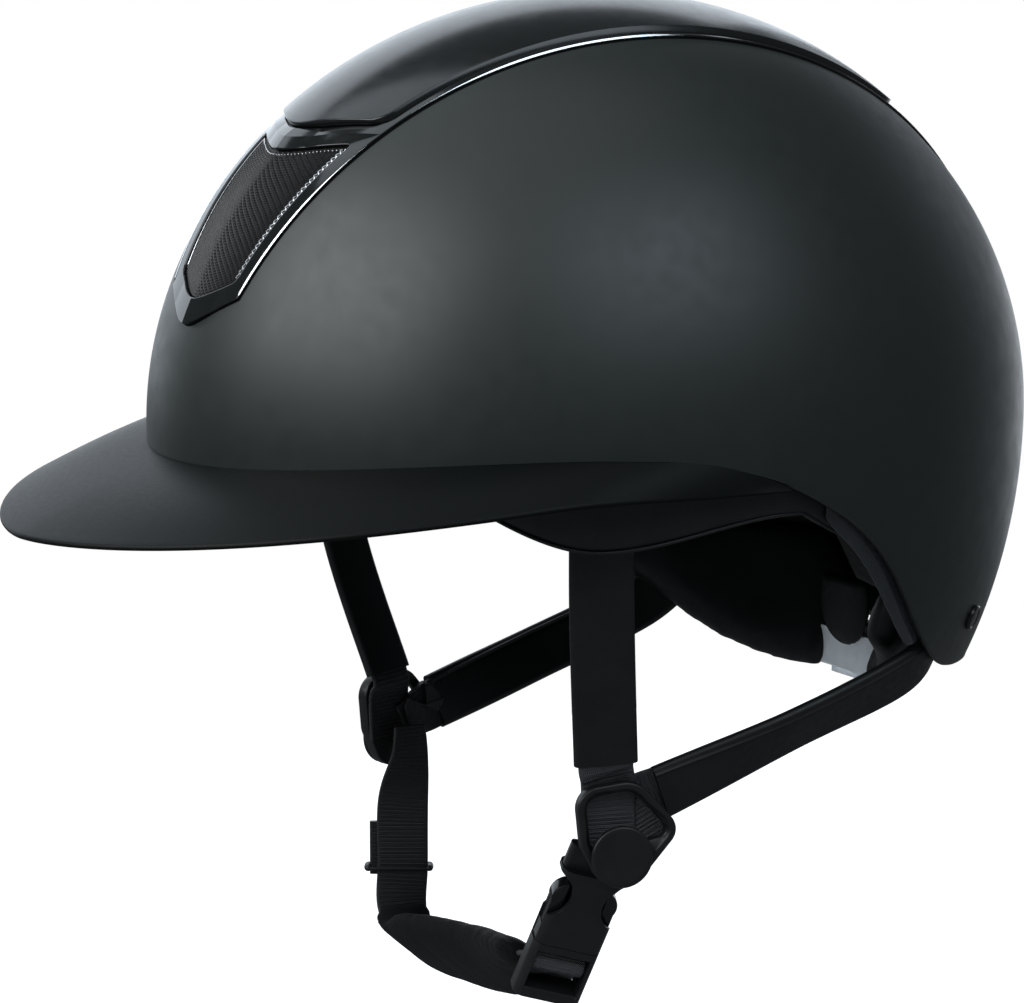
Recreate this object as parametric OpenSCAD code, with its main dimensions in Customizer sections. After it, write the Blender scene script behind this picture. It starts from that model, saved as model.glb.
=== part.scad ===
// Riding helmet with a wide peak, a vented centre panel and a four-strap harness.
// Millimetres. +X is the wearer's left, -Y is the front, +Z is up. The origin is the
// centre of the head space at the level where the shell is widest.

/* [Shell] */
// Half width of the outer shell
shell_w = 108; // [104:1:112]
// Half length of the outer shell
shell_l = 133; // [129:1:137]
// Height of the crown above the widest level
shell_h = 119.5; // [116:0.5:124]
// Depth at which the sides would close if they went on down
shell_d = 150; // [144:1:160]
// Wall of the outer shell
shell_t = 3; // [2.5:0.5:3.5]
// Height of the shell's edge over the brow
brow_z = -5; // [-7:0.5:-4]
// Height of the shell's edge at the temple
temple_z = 1.7; // [0.5:0.1:3]
// Height of the shell's edge at the nape
nape_z = -75; // [-78:0.5:-72]

/* [Peak] */
// How far the peak stands out in front of the shell
peak_reach = 45.5; // [36:0.5:52]
// How far the rim stands out beside the shell
peak_side = 1; // [0.5:0.5:3]
// How far the rim lies under the brow at the front
peak_drop = 17; // [14:0.5:22]
// Wall of the peak at its root
peak_t = 3; // [2.5:0.25:4]
// Wall of the peak at its rim
rim_t = 1.6; // [1.4:0.1:2.2]

/* [Centre panel] */
// Half width of the frame at its widest
frame_w = 42.8; // [40:0.2:46]
// Half width of the frame at its front and rear ends
frame_end_w = 24; // [21:0.5:27]
// Angle over the crown at which the frame's front tip lies
frame_front = 15.6; // [14:0.2:18]
// Angle over the crown at which the frame's rear tip lies
frame_rear = 162; // [158:1:165]
// Wall of the frame
frame_t = 1.4; // [1:0.1:2]
// Width of the frame's side rails
rail = 5.5; // [4.8:0.1:7]
// Wall of the top cover
cover_t = 2.8; // [2:0.1:3.6]
// Width of the frame's side rails beside the top cover
cover_rail = 2.7; // [2:0.1:3.6]
// How far the shell sinks under the centre panel
crown_sink = 1.5; // [1:0.1:2]
// Thickness of the mesh panels
mesh_t = 0.8; // [0.6:0.1:1]

/* [Liner] */
// Wall of the impact liner
foam_t = 21.5; // [19:0.5:23]
// Thickness of the comfort padding
pad_t = 5.5; // [4:0.5:7]
// How far the impact liner's edge stays above the shell's edge
foam_inset = 7; // [6:0.5:9]
// Thickness of the leather covered side trims
trim_t = 8; // [6:0.5:9]
// Lowest point of the side trims under the shell's edge
trim_drop = 27; // [24:0.5:29]

/* [Nape fitting] */
// Lowest point of the nape pads
nape_pad_z = -96.5; // [-98:0.5:-92]
// Thickness of the nape pads
nape_pad_t = 8; // [6:0.5:9]
// Radius of the dial knob
dial_r = 9; // [8:0.5:10]
// Thickness of the dial knob
dial_t = 6; // [5:0.5:7]
// Height of the dial's centre
dial_z = -80; // [-82:0.5:-79]
// Thickness of each ratchet belt
belt_t = 1.2; // [1:0.1:1.4]
// Height of each ratchet belt
belt_h = 8; // [6:0.5:9]

/* [Harness] */
// Width of the leather sleeves on the straps
sleeve_w = 18; // [17:0.5:20]
// Thickness of the sleeves
sleeve_t = 3.2; // [2.8:0.1:3.6]
// Width of the webbing
web_w = 15.5; // [14.5:0.1:15.6]
// Thickness of the webbing
web_t = 1.6; // [1.4:0.1:1.8]
// Distance of each divider's centre from the middle
divider_x = 70; // [68:0.5:72]
// Thickness of the dividers
divider_t = 3.2; // [2.8:0.1:3.6]
// Radius of the round caps on the dividers
cap_r = 8.8; // [8:0.25:9.5]
// Width of the buckle
buckle_w = 20; // [19.9:0.1:22]
// Thickness of the buckle
buckle_t = 9; // [8.6:0.1:10]
// Radius of the pins that the chin loop hangs on
pin_r = 1.8; // [1.5:0.1:2]
// Widest part of the chin pad
chin_pad_w = 27; // [23:0.5:30]
// Thickness of the chin pad
chin_pad_t = 9; // [7:0.5:10]
// Radius of the rivet heads
rivet_r = 3.5; // [3:0.25:4]

/* [Hidden] */

// Gap between fixed curved pieces that lie against each other
seat_gap = 0.3;
// Gap between large domes, whose flat facets cut a little inside their true surface
dome_gap = 0.8;
// Gap between pieces that move against each other
run_gap = 0.3;
// Play between a pin and its bore, on the radius
pin_play = 0.05;
// Number of columns round the helmet
cols = 72;
$fn = 48;

// Small helpers on vectors
function unit(v) = v / norm(v);
function mix(a, b, t) = a + (b - a) * t;
function ease(t) = let(c = max(0, min(1, t))) c * c * (3 - 2 * c);
function square_off(n, t) = unit(n - (n * t) * t);

// Point of the shell's surface: th is the angle round from the front, f the latitude
function shell_pt(th, f, off = 0) = [
    (shell_w + off) * cos(f) * sin(th),
    -(shell_l + off) * cos(f) * cos(th),
    ((f >= 0 ? shell_h : shell_d) + off) * sin(f)];
function lat(z) = z >= 0 ? asin(z / shell_h) : asin(z / shell_d);

// Share of the drop from temple to nape, against the angle round from the front
arch_share = [[66, 0], [78, 0.015], [84, 0.055], [90, 0.12], [96, 0.21], [102, 0.32],
    [108, 0.48], [114, 0.68], [120, 0.825], [126, 0.92], [132, 0.955], [142, 0.975],
    [160, 0.995], [180, 1]];
arch_blur = 2.5;
function arch(a) = (lookup(a - arch_blur, arch_share) + lookup(a, arch_share)
    + lookup(a + arch_blur, arch_share)) / 3;
// Height of the shell's lower edge: up to the temple it is the crease with the peak
temple_angle = 68;
function front_edge(a) = mix(brow_z, temple_z, (1 - cos(180 * min(a, temple_angle) / temple_angle)) / 2);
function edge_z(th) = let(a = abs(th)) front_edge(a) + (nape_z - temple_z) * arch(a);

// Faces of a closed sheet of two point grids, rows by cols, where keep[i][j] is a cell.
// wrap joins the last column to the first
function at(i, j, n, wrap) = i * n + (wrap ? j % n : j);
function cell_on(keep, i, j, m, c, wrap) = i < 0 || i >= m ? false
    : wrap ? keep[i][(j + c) % c]
    : j < 0 || j >= c ? false : keep[i][j];
function sheet_faces(m, n, keep, wrap) = let(c = wrap ? n : n - 1, k = (m + 1) * n) [
    for (i = [0:m - 1]) for (j = [0:c - 1]) if (keep[i][j])
        let(a = at(i, j, n, wrap), b = at(i + 1, j, n, wrap),
            p = at(i + 1, j + 1, n, wrap), q = at(i, j + 1, n, wrap))
        each concat(
            [[a, b, p], [a, p, q], [a + k, p + k, b + k], [a + k, q + k, p + k]],
            cell_on(keep, i, j - 1, m, c, wrap) ? [] : [[b, a, a + k], [b, a + k, b + k]],
            cell_on(keep, i + 1, j, m, c, wrap) ? [] : [[p, b, b + k], [p, b + k, p + k]],
            cell_on(keep, i, j + 1, m, c, wrap) ? [] : [[q, p, p + k], [q, p + k, q + k]],
            cell_on(keep, i - 1, j, m, c, wrap) ? [] : [[a, q, q + k], [a, q + k, a + k]])];
function turned(faces) = [for (f = faces) [f[0], f[2], f[1]]];
function all_cells(m, c) = [for (i = [0:m - 1]) [for (j = [0:c - 1]) true]];

// A closed sheet from an outer and an inner grid of points
module sheet(outer, inner, keep = undef, flip = false) {
    m = len(outer) - 1;
    n = len(outer[0]);
    cells = is_undef(keep) ? all_cells(m, n - 1) : keep;
    faces = sheet_faces(m, n, cells, false);
    polyhedron([for (r = outer) each r, for (r = inner) each r], flip ? turned(faces) : faces);
}

// A dome open at the bottom: rows of the two grids close at one point each at the top
module dome(outer, inner, top_out, top_in) {
    m = len(outer) - 1;
    n = len(outer[0]);
    k = (m + 1) * n;
    ring = [for (i = [0:m - 1]) each [for (j = [0:n - 1])
        let(a = at(i, j, n, true), b = at(i + 1, j, n, true),
            p = at(i + 1, j + 1, n, true), q = at(i, j + 1, n, true))
        each [[a, b, p], [a, p, q], [a + k, p + k, b + k], [a + k, q + k, p + k]]]];
    foot = [for (j = [0:n - 1]) let(a = j, q = (j + 1) % n)
        each [[a, q, a + k], [q, q + k, a + k]]];
    cap = [for (j = [0:n - 1]) let(b = m * n + j, p = m * n + (j + 1) % n)
        each [[b, 2 * k, p], [b + k, p + k, 2 * k + 1]]];
    polyhedron(concat([for (r = outer) each r], [for (r = inner) each r], [top_out, top_in]),
        concat(ring, foot, cap));
}
// Dome between two offsets from the shell's surface, from the edge given by foot(th) up
dome_top = 85;
function dome_grid(feet, off, m, n) = [for (i = [0:m]) [for (j = [0:n - 1])
    shell_pt(360 * j / n, mix(feet[j], dome_top, i / m), off)]];
module shell_dome(feet, off_out, off_in, m) {
    n = len(feet);
    dome(dome_grid(feet, off_out, m, n), dome_grid(feet, off_in, m, n),
        [0, 0, shell_h + off_out], [0, 0, shell_h + off_in]);
}
// The shell's skin sinks under the centre panel and rises again beside its outline
// It is full up to sink_margin beyond the outline and fades out over sink_fade
sink_margin = 3;
sink_fade = 8;
function sink_at(p) = let(u = atan2(p[2] / shell_h, -p[1] / shell_l),
    arc = 3.14159 / 180 * (shell_l + shell_h) / 2,
    out = max(abs(p[0]) - half_w(u), arc * (frame_front - u), arc * (u - frame_rear), 0))
    p[2] < 0 ? 0 : crown_sink * (1 - ease((out - sink_margin) / sink_fade));
function skin_pt(th, f) = shell_pt(th, f, -sink_at(shell_pt(th, f)));
function wrap_angle(a) = a > 180 ? a - 360 : a;

// A band on the shell's inside: angles a0 to a1, heights low(th) to high(th) given as lists
module band(a0, a1, lows, highs, off_out, off_in, m = 4, crown = 0) {
    n = len(lows);
    function th(j) = mix(a0, a1, j / (n - 1));
    function sheet_at(off, swell) = [for (i = [0:m]) [for (j = [0:n - 1])
        shell_pt(th(j), lat(mix(lows[j], highs[j], i / m)),
            off + swell * sin(180 * i / m) * min(1, 4 * sin(180 * j / (n - 1))))]];
    sheet(sheet_at(off_out, 0), sheet_at(off_in, -crown));
}

// Outer shell with its vent slots and rivet holes
vent_x = 11;
vent_w = 9;
vent_len = 34;
front_vent_z = 62;
rear_vent_z = 62;
module vent_slots(dir) {
    for (x = [-2 * vent_x, 0, 2 * vent_x])
        translate([x, dir * shell_l, dir < 0 ? front_vent_z : rear_vent_z])
            rotate([90, 0, 0])
                linear_extrude(2 * shell_l - 40, center = true)
                    square([vent_w, vent_len], center = true);
}
rivet_angle = 134;
rivet_z = -57;
rivet_f = lat(rivet_z);
function rivet_at(off) = shell_pt(rivet_angle, rivet_f, off);
function shell_normal(th, f) = let(p = shell_pt(th, f), h = f >= 0 ? shell_h : shell_d)
    unit([p[0] / (shell_w * shell_w), p[1] / (shell_l * shell_l), p[2] / (h * h)]);
rivet_n = shell_normal(rivet_angle, rivet_f);
// Puts a child's +Z along direction d at point p
module aimed(p, d) {
    z = unit(d);
    x = unit(cross(abs(z[2]) > 0.9 ? [0, 1, 0] : [0, 0, 1], z));
    y = cross(z, x);
    multmatrix([[x[0], y[0], z[0], p[0]], [x[1], y[1], z[1], p[1]], [x[2], y[2], z[2], p[2]],
        [0, 0, 0, 1]]) children();
}
rivet_stem_r = 2;
module rivet_bores(r) {
    for (s = [0, 1]) mirror([s, 0, 0])
        aimed(rivet_at(0), rivet_n) cylinder(r = r, h = 30, center = true);
}
shell_rows = 12;
shell_feet = [for (j = [0:cols - 1]) lat(edge_z(wrap_angle(360 * j / cols)))];
module outer_shell() {
    color([0.09, 0.10, 0.10]) difference() {
        dome([for (i = [0:shell_rows]) [for (j = [0:cols - 1])
                skin_pt(360 * j / cols, mix(shell_feet[j], dome_top, i / shell_rows))]],
            dome_grid(shell_feet, -shell_t, shell_rows, cols),
            [0, 0, shell_h - crown_sink], [0, 0, shell_h - shell_t]);
        vent_slots(-1);
        vent_slots(1);
        rivet_bores(rivet_stem_r + pin_play);
    }
}

// Peak: its inner edge butts on the shell's lower edge, and its rim is a wide squarish arc
peak_end = 90;
peak_swing = 18;
peak_bulge = 1.4;
peak_corner_x = 1.2;
peak_corner_y = 0.6;
peak_side_z = -5.3;
// Beyond rim_fold the rim comes in to the shell's edge and ends rim_lap under it
rim_fold = 62;
rim_lap = 0.8;
peak_sag = 1.1;
root_h = 5;
function rim_pt(th) = let(t = th + peak_swing * sin(2 * th), s = sin(t), c = max(0, cos(t)))
    [(shell_w + peak_side) * sign(s) * pow(abs(s), peak_corner_x),
     -(shell_l + peak_reach) * pow(c, peak_corner_y),
     mix(mix(peak_side_z, edge_z(peak_end) - rim_lap, ease((abs(th) - rim_fold) / (peak_end - rim_fold))),
        brow_z - peak_drop, pow(c, peak_sag))];
peak_shares = [0.25, 0.5, 0.75, 0.94, 1];
function peak_fade(th) = ease((peak_end + 4 - abs(th)) / 40);
function peak_top(th) = let(f = lat(edge_z(th)), a = shell_pt(th, f), b = rim_pt(th),
    up = peak_bulge * norm(b - a) / peak_reach)
    concat([shell_pt(th, f, -shell_t), a],
        [for (r = peak_shares) mix(a, b, r) + [0, 0, up * sin(180 * r)]]);
function peak_under(th) = let(p = peak_top(th), k = mix(0.35, 1, peak_fade(th)))
    concat([p[0] - [0, 0, root_h * k], p[1] - [0, 0, root_h * k]],
        [for (i = [0:len(peak_shares) - 1])
            p[i + 2] - [0, 0, mix(peak_t, rim_t, peak_shares[i]) * k]]);
peak_step = 360 / cols;
peak_angles = [for (a = [-peak_end:peak_step:peak_end]) a];
module peak() {
    top = [for (a = peak_angles) peak_top(a)];
    under = [for (a = peak_angles) peak_under(a)];
    color([0.10, 0.11, 0.11]) sheet(top, under);
}

// Crown grid: u runs over the top from front (0) to back (180), x across.
// Rows carry a chevron that points forward in front and backward at the rear
frame_mid = 96;
chevron = 4.8;
tip_round = 0.22;
function crown_pt(u, x, off) = let(k = sqrt(1 - pow(x / (shell_w + off), 2)))
    [x, -(shell_l + off) * cos(u) * k, (shell_h + off) * sin(u) * k];
function half_w(u) = let(span = u < frame_mid ? frame_mid - frame_front - chevron
        : frame_rear - chevron - frame_mid)
    frame_w - (frame_w - frame_end_w) * pow(min(1.2, abs(u - frame_mid) / span), 2);
function vee(s) = sqrt(s * s + tip_round * tip_round) - tip_round;
function vee_share(s) = vee(s) / vee(1);
// Angle of a row at share s across: bend is 1 for forward tips and -1 for rear ones
function row_u(u, s) = let(bend = mix(1, -1, ease((u - 50) / 80))) u + bend * chevron * vee_share(s);
// Point of row u at share s across, with the grid's edge drawn in by inset
function row_pt(u, s, inset, off) = let(t = s * (1 - inset / half_w(u)), v = row_u(u, t))
    crown_pt(v, t * half_w(v), off);
function crown_grid(us, ss, inset, off) = [for (u = us) [for (s = ss) row_pt(u, s, inset, off)]];
function steps(a, b, n) = [for (i = [0:n]) mix(a, b, i / n)];

// Rows at which the meshes and the top cover begin and end
mesh_front = [19.2, 41.4];
cover_rows = [45.3, 134];
mesh_rear = [138, 158.4];
// Play of the cover and the meshes in their windows: along the rows in degrees, across in mm
row_play = 0.2;
side_play = 0.3;
cover_window = [cover_rows[0] - row_play, cover_rows[1] + row_play];
frame_us = concat([frame_front], steps(mesh_front[0], mesh_front[1], 6),
    steps(cover_window[0], cover_window[1], 14),
    steps(mesh_rear[0], mesh_rear[1], 6), [frame_rear]);
inner_shares = steps(-1, 1, 8);
function in_rows(u, rows) = u > rows[0] && u < rows[1];
frame_keep = [for (i = [0:len(frame_us) - 2]) [for (j = [0:len(inner_shares)])
    let(mid = (frame_us[i] + frame_us[i + 1]) / 2)
    j == 0 || j == len(inner_shares)
    || !(in_rows(mid, mesh_front) || in_rows(mid, cover_window) || in_rows(mid, mesh_rear))]];
function rail_at(u) = u < mesh_front[1] + 1 || u > mesh_rear[0] - 1 ? rail : cover_rail;
function frame_row(u, off) = concat([row_pt(u, -1, 0, off)],
    [for (s = inner_shares) row_pt(u, s, rail_at(u), off)], [row_pt(u, 1, 0, off)]);
// Offset at which the frame, the cover and the meshes are seated on the sunk shell
seat = seat_gap + 0.1 - crown_sink;
module centre_frame() {
    color([0.03, 0.03, 0.035]) sheet([for (u = frame_us) frame_row(u, seat + frame_t)],
        [for (u = frame_us) frame_row(u, seat)], frame_keep);
}

// Panel of thickness t that fills the rows of a window, clear of its rails
module crown_panel(rows, inset, t, n_rows, n_cols) {
    us = steps(rows[0], rows[1], n_rows);
    ss = steps(-1, 1, n_cols);
    sheet(crown_grid(us, ss, inset, seat + t), crown_grid(us, ss, inset, seat));
}
module top_cover() {
    color([0.02, 0.02, 0.025]) crown_panel(cover_rows, cover_rail + side_play, cover_t, 18, 10);
}
module mesh_panel(rows) {
    color([0.05, 0.05, 0.06])
        crown_panel([rows[0] + row_play, rows[1] - row_play], rail + side_play, mesh_t, 6, 8);
}
module front_mesh() mesh_panel(mesh_front);
module rear_mesh() mesh_panel(mesh_rear);

// Impact liner: foam dome inside the shell, with the shell's vents carried through
foam_out = -shell_t - dome_gap;
foam_in = foam_out - foam_t;
foam_cols = 48;
foam_rear_z = -52;
function foam_z(th) = max(edge_z(th) + foam_inset, foam_rear_z);
module impact_liner() {
    feet = [for (j = [0:foam_cols - 1]) lat(foam_z(wrap_angle(360 * j / foam_cols)))];
    color([0.12, 0.12, 0.13]) difference() {
        shell_dome(feet, foam_out, foam_in, 12);
        vent_slots(-1);
        vent_slots(1);
    }
}

// Comfort padding: a crown pad and a band round the head
pad_out = foam_in - dome_gap;
pad_in = pad_out - pad_t;
crown_pad_lat = 42;
module crown_pad() {
    n = 36;
    feet = [for (j = [0:n - 1]) crown_pad_lat];
    color([0.08, 0.08, 0.09]) shell_dome(feet, pad_out, pad_in, 5);
}
band_end = 128;
band_top_z = 34;
band_low_z = 4;
band_drop_angle = 84;
band_drop_run = 40;
band_rear_rise = 16;
module head_band() {
    n = 41;
    angles = [for (j = [0:n - 1]) mix(-band_end, band_end, j / (n - 1))];
    lows = [for (a = angles) mix(band_low_z, foam_rear_z + band_rear_rise,
        ease((abs(a) - band_drop_angle) / band_drop_run))];
    highs = [for (a = angles) band_top_z];
    color([0.06, 0.06, 0.07]) band(-band_end, band_end, lows, highs, pad_out, pad_in, 4, 1.5);
}

// Gloss strip that lines each rear arch, between the foam and the side trims
arch_t = 0.6;

// Leather covered trim under the liner's edge beside each temple
trim_a0 = 47;
trim_a1 = 106;
trim_deep_angle = 67;
trim_level_angle = 92;
trim_arch_angle = 94;
trim_front_z = -8;
trim_rear_z = -17.5;
trim_deep_z = 1.5 - trim_drop;
trim_out = foam_out - arch_t - seat_gap;
function trim_low(a) = let(front = ease((a - trim_a0) / (trim_deep_angle - trim_a0)),
    back = ease((a - trim_deep_angle) / (trim_level_angle - trim_deep_angle)))
    a < trim_deep_angle ? mix(trim_front_z, trim_deep_z, pow(front, 0.6))
    : mix(trim_deep_z, trim_rear_z, back)
        + (a > trim_arch_angle ? edge_z(a) - edge_z(trim_arch_angle) : 0);
module side_trim_left() {
    n = 21;
    angles = [for (j = [0:n - 1]) mix(trim_a0, trim_a1, j / (n - 1))];
    lows = [for (a = angles) trim_low(a)];
    highs = [for (a = angles) foam_z(a) - dome_gap];
    color([0.04, 0.04, 0.045])
        band(trim_a0, trim_a1, lows, highs, trim_out, trim_out - trim_t, 4, 1);
}
module side_trim_right() mirror([1, 0, 0]) side_trim_left();

// Gloss strip that lines each rear arch just inside the shell
arch_a0 = 99;
arch_a1 = 121;
arch_lead = 3;
strip_rise = 4;
module arch_trim_left() {
    n = 12;
    angles = [for (j = [0:n - 1]) mix(arch_a0, arch_a1, j / (n - 1))];
    lows = [for (a = angles) max(edge_z(a + arch_lead), edge_z(arch_a1))];
    highs = [for (a = angles) edge_z(a) + strip_rise];
    color([0.02, 0.02, 0.02]) band(arch_a0, arch_a1, lows, highs, foam_out,
        foam_out - arch_t, 3);
}
module arch_trim_right() mirror([1, 0, 0]) arch_trim_left();

// Nape pads: each hangs below the shell's rear edge, beside the dial
nape_out = -12;
nape_a0 = 124;
nape_a1 = 165;
nape_high_z = foam_rear_z - seat_gap;
nape_start_z = -68;
nape_inner_drop = 10;
nape_inner_run = 13;
// Share of the drop to the pad's lowest point, against the angle round from the front
nape_share = [[124, 0.2], [133, 0.58], [141, 0.8], [150, 0.95], [158, 1], [165, 0.93]];
module nape_pad_left() {
    n = 15;
    angles = steps(nape_a0, nape_a1, n - 1);
    highs = [for (a = angles) nape_high_z - nape_inner_drop * ease(1 - (nape_a1 - a) / nape_inner_run)];
    lows = [for (a = angles) mix(nape_start_z, nape_pad_z, lookup(a, nape_share))];
    color([0.05, 0.05, 0.055]) band(nape_a0, nape_a1, lows, highs, nape_out,
        nape_out - nape_pad_t, 5, 1.2);
}
module nape_pad_right() mirror([1, 0, 0]) nape_pad_left();

// Dial: turns on a shaft along Y, behind the nape, and its pinion draws in two toothed belts
dial_inset = 38;
dial_y = shell_l - dial_inset;
housing_t = 5;
housing_w = 26;
housing_h = 17;
shaft_r = 2;
cradle_t = 2;
cradle_h = 12;
cradle_half = shell_pt(nape_a1, lat(dial_z), nape_out - nape_pad_t / 2)[0] - 5 * seat_gap;
module nape_cradle() {
    // Thin plastic strip in front of the housing, from one nape pad to the other
    color([0.15, 0.15, 0.16]) translate([0, dial_y - housing_t / 2 - cradle_t / 2 - seat_gap, dial_z])
        cube([2 * cradle_half, cradle_t, cradle_h], center = true);
}
tab_r = 9;
tab_t = 4;
tab_rise = 12;
module nape_tab() {
    // Leather covered tab that keeps the nape off the cradle
    y = dial_y - housing_t / 2 - cradle_t - 2 * seat_gap;
    color([0.05, 0.05, 0.055]) translate([0, y, dial_z]) rotate([90, 0, 0])
        linear_extrude(tab_t) {
            circle(r = tab_r);
            translate([-tab_r, 0]) square([2 * tab_r, tab_rise]);
        }
}
// Rack and pinion: teeth of the pinion are spread evenly, and the belts have the same pitch
teeth = 10;
pinion_r = 2.5;
tooth_h = 0.5;
tooth_root = 0.8;
tooth_tip = 0.3;
tooth_gap = 0.15;
pitch = 2 * PI * pinion_r / teeth;
belt_gap = 0.4;
belt_trim = 0.6;
belt_back = pinion_r + tooth_h + tooth_gap + belt_h / 2 - belt_trim;
module tooth(r) {
    // Tooth that stands on the line y = r and rises by twice tooth_h
    polygon([[-tooth_root / 2, r - 0.3], [tooth_root / 2, r - 0.3], [tooth_root / 2, r],
        [tooth_tip / 2, r + 2 * tooth_h], [-tooth_tip / 2, r + 2 * tooth_h], [-tooth_root / 2, r]]);
}
module dial_housing() {
    // Case with a slot through it for the belts and a bore for the shaft
    color([0.62, 0.65, 0.68]) translate([0, dial_y, dial_z]) difference() {
        cube([housing_w, housing_t, housing_h], center = true);
        cube([housing_w + 2, belt_t + 2 * belt_gap, 2 * (belt_back + belt_gap)], center = true);
        rotate([90, 0, 0]) cylinder(r = shaft_r + pin_play, h = 2 * housing_t, center = true);
    }
}
belt_in = 8;
belt_len = belt_in + cradle_half;
belt_teeth = 10;
module belt(turn) {
    // Strap along X whose inner end is toothed and lies in the housing beside the pinion
    root = pinion_r + tooth_h + tooth_gap;
    color([0.16, 0.16, 0.17]) translate([0, dial_y + belt_t / 2, dial_z]) rotate([90, 0, 0])
        linear_extrude(belt_t) rotate(turn) {
            translate([belt_in - belt_len, -belt_back]) square([belt_len, belt_back - root]);
            for (i = [1:belt_teeth]) translate([(i - (belt_teeth + 1) / 2) * pitch, 0]) tooth(-root);
        }
}
module belt_left() belt(180);
module belt_right() belt(0);
module dial_shaft() {
    // Shaft and pinion that turn with the knob
    color([0.2, 0.2, 0.2]) translate([0, dial_y, dial_z]) rotate([90, 0, 0]) {
        cylinder(r = shaft_r, h = housing_t, center = true);
        linear_extrude(belt_t, center = true) for (i = [0:teeth - 1])
            rotate(360 * i / teeth) tooth(pinion_r - tooth_h);
    }
}
grips = 16;
grip_r = 1.2;
knob_gap = 0.3;
module dial_knob() {
    y0 = dial_y + housing_t / 2;
    color([0.66, 0.69, 0.72]) translate([0, y0 + knob_gap, dial_z]) rotate([-90, 0, 0]) {
        difference() {
            cylinder(r = dial_r, h = dial_t);
            for (i = [0:grips - 1]) rotate([0, 0, 360 * i / grips])
                translate([dial_r + grip_r / 2, 0, -1]) cylinder(r = grip_r, h = dial_t + 2);
        }
        translate([0, 0, -knob_gap]) cylinder(r = shaft_r, h = knob_gap + 1);
    }
}

// Rivets that hold the rear straps to the shell, and the gap between shell and strap
strap_gap = 1.8;
rivet_head = 0.5;
rivet_foot = 1;
rivet_reach = shell_t + strap_gap + sleeve_t + seat_gap;
module strap_rivets() {
    color([0.10, 0.10, 0.11]) for (s = [0, 1]) mirror([s, 0, 0]) aimed(rivet_at(0), rivet_n) {
        translate([0, 0, seat_gap / 2]) cylinder(r = rivet_r, h = rivet_head);
        translate([0, 0, -rivet_reach]) cylinder(r = rivet_stem_r, h = rivet_reach + seat_gap);
        translate([0, 0, -rivet_reach - rivet_foot]) cylinder(r = rivet_r, h = rivet_foot);
    }
}

// Ribbon: a flat strip along a smooth path. Each knot is [point, normal, width, thickness]
function catmull(a, b, c, d, t) = 0.5 * (2 * b + (c - a) * t + (2 * a - 5 * b + 4 * c - d) * t * t
    + (3 * b - a - 3 * c + d) * t * t * t);
function knot(k, i) = k[max(0, min(len(k) - 1, i))];
function along(k, f, q) = let(i = min(len(k) - 2, floor(q)), t = q - i)
    catmull(knot(k, i - 1)[f], knot(k, i)[f], knot(k, i + 1)[f], knot(k, i + 2)[f], t);
function strip_ring(p, n, w, h) = let(c = min(h * 0.3, 0.8), a = w / 2, b = h / 2)
    [for (q = [[a, c - b], [a, b - c], [a - c, b], [c - a, b], [-a, b - c], [-a, c - b],
        [c - a, -b], [a - c, -b]]) p + q[0] * n[0] + q[1] * n[1]];
function pad_ring(p, n, w, h) = [for (i = [0:15]) let(a = 22.5 * i)
    p + w / 2 * sign(cos(a)) * pow(abs(cos(a)), 0.75) * n[0]
    + h / 2 * sign(sin(a)) * pow(abs(sin(a)), 0.9) * n[1]];
module loft(rings) {
    m = len(rings);
    n = len(rings[0]);
    sides = [for (i = [0:m - 2]) each [for (j = [0:n - 1])
        let(a = i * n + j, b = i * n + (j + 1) % n, c = b + n, d = a + n)
        each [[a, c, b], [a, d, c]]]];
    near = [for (j = [1:n - 2]) [0, j, j + 1]];
    far = [for (j = [1:n - 2]) [(m - 1) * n, (m - 1) * n + j + 1, (m - 1) * n + j]];
    polyhedron([for (r = rings) each r], concat(sides, near, far));
}
function ribbon_axes(k, q) = let(e = 0.02, a = max(0, q - e), b = min(len(k) - 1, q + e),
    t = unit(along(k, 0, b) - along(k, 0, a)), n = square_off(along(k, 1, q), t))
    [cross(n, t), n];
module ribbon(k, per = 4, round_pad = false, from = 0, to = -1) {
    // The strip between knots from and to, with about per rings to a knot
    last = to < 0 ? len(k) - 1 : to;
    loft([for (q = steps(from, last, round((last - from) * per)))
        let(p = along(k, 0, q), ax = ribbon_axes(k, q), w = along(k, 2, q), h = along(k, 3, q))
        round_pad ? pad_ring(p, ax, w, h) : strip_ring(p, ax, w, h)]);
}

// Harness places. side is 1 on the left and -1 on the right
pivot_y = -29.5;
pivot_z_left = -114.5;
pivot_z_right = -107.5;
function pivot(side) = [side * divider_x, pivot_y, side > 0 ? pivot_z_left : pivot_z_right];
pivot_axis = unit(pivot(1) - pivot(-1));
divider_tilt = 15;
// Divider axes: e1 points back, e2 up, e3 outwards
function divider_e1(side) = [side * sin(divider_tilt), cos(divider_tilt), 0];
function divider_e3(side) = [side * cos(divider_tilt), -sin(divider_tilt), 0];
function on_divider(side, a, b, c) = pivot(side) + a * divider_e1(side) + b * [0, 0, 1]
    + c * divider_e3(side);
module divider_frame(side) {
    e1 = divider_e1(1);
    e3 = divider_e3(1);
    p = pivot(side);
    mirror([side > 0 ? 0 : 1, 0, 0])
        multmatrix([[e1[0], 0, e3[0], abs(p[0])], [e1[1], 0, e3[1], p[1]], [0, 1, 0, p[2]],
            [0, 0, 0, 1]]) children();
}

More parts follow.
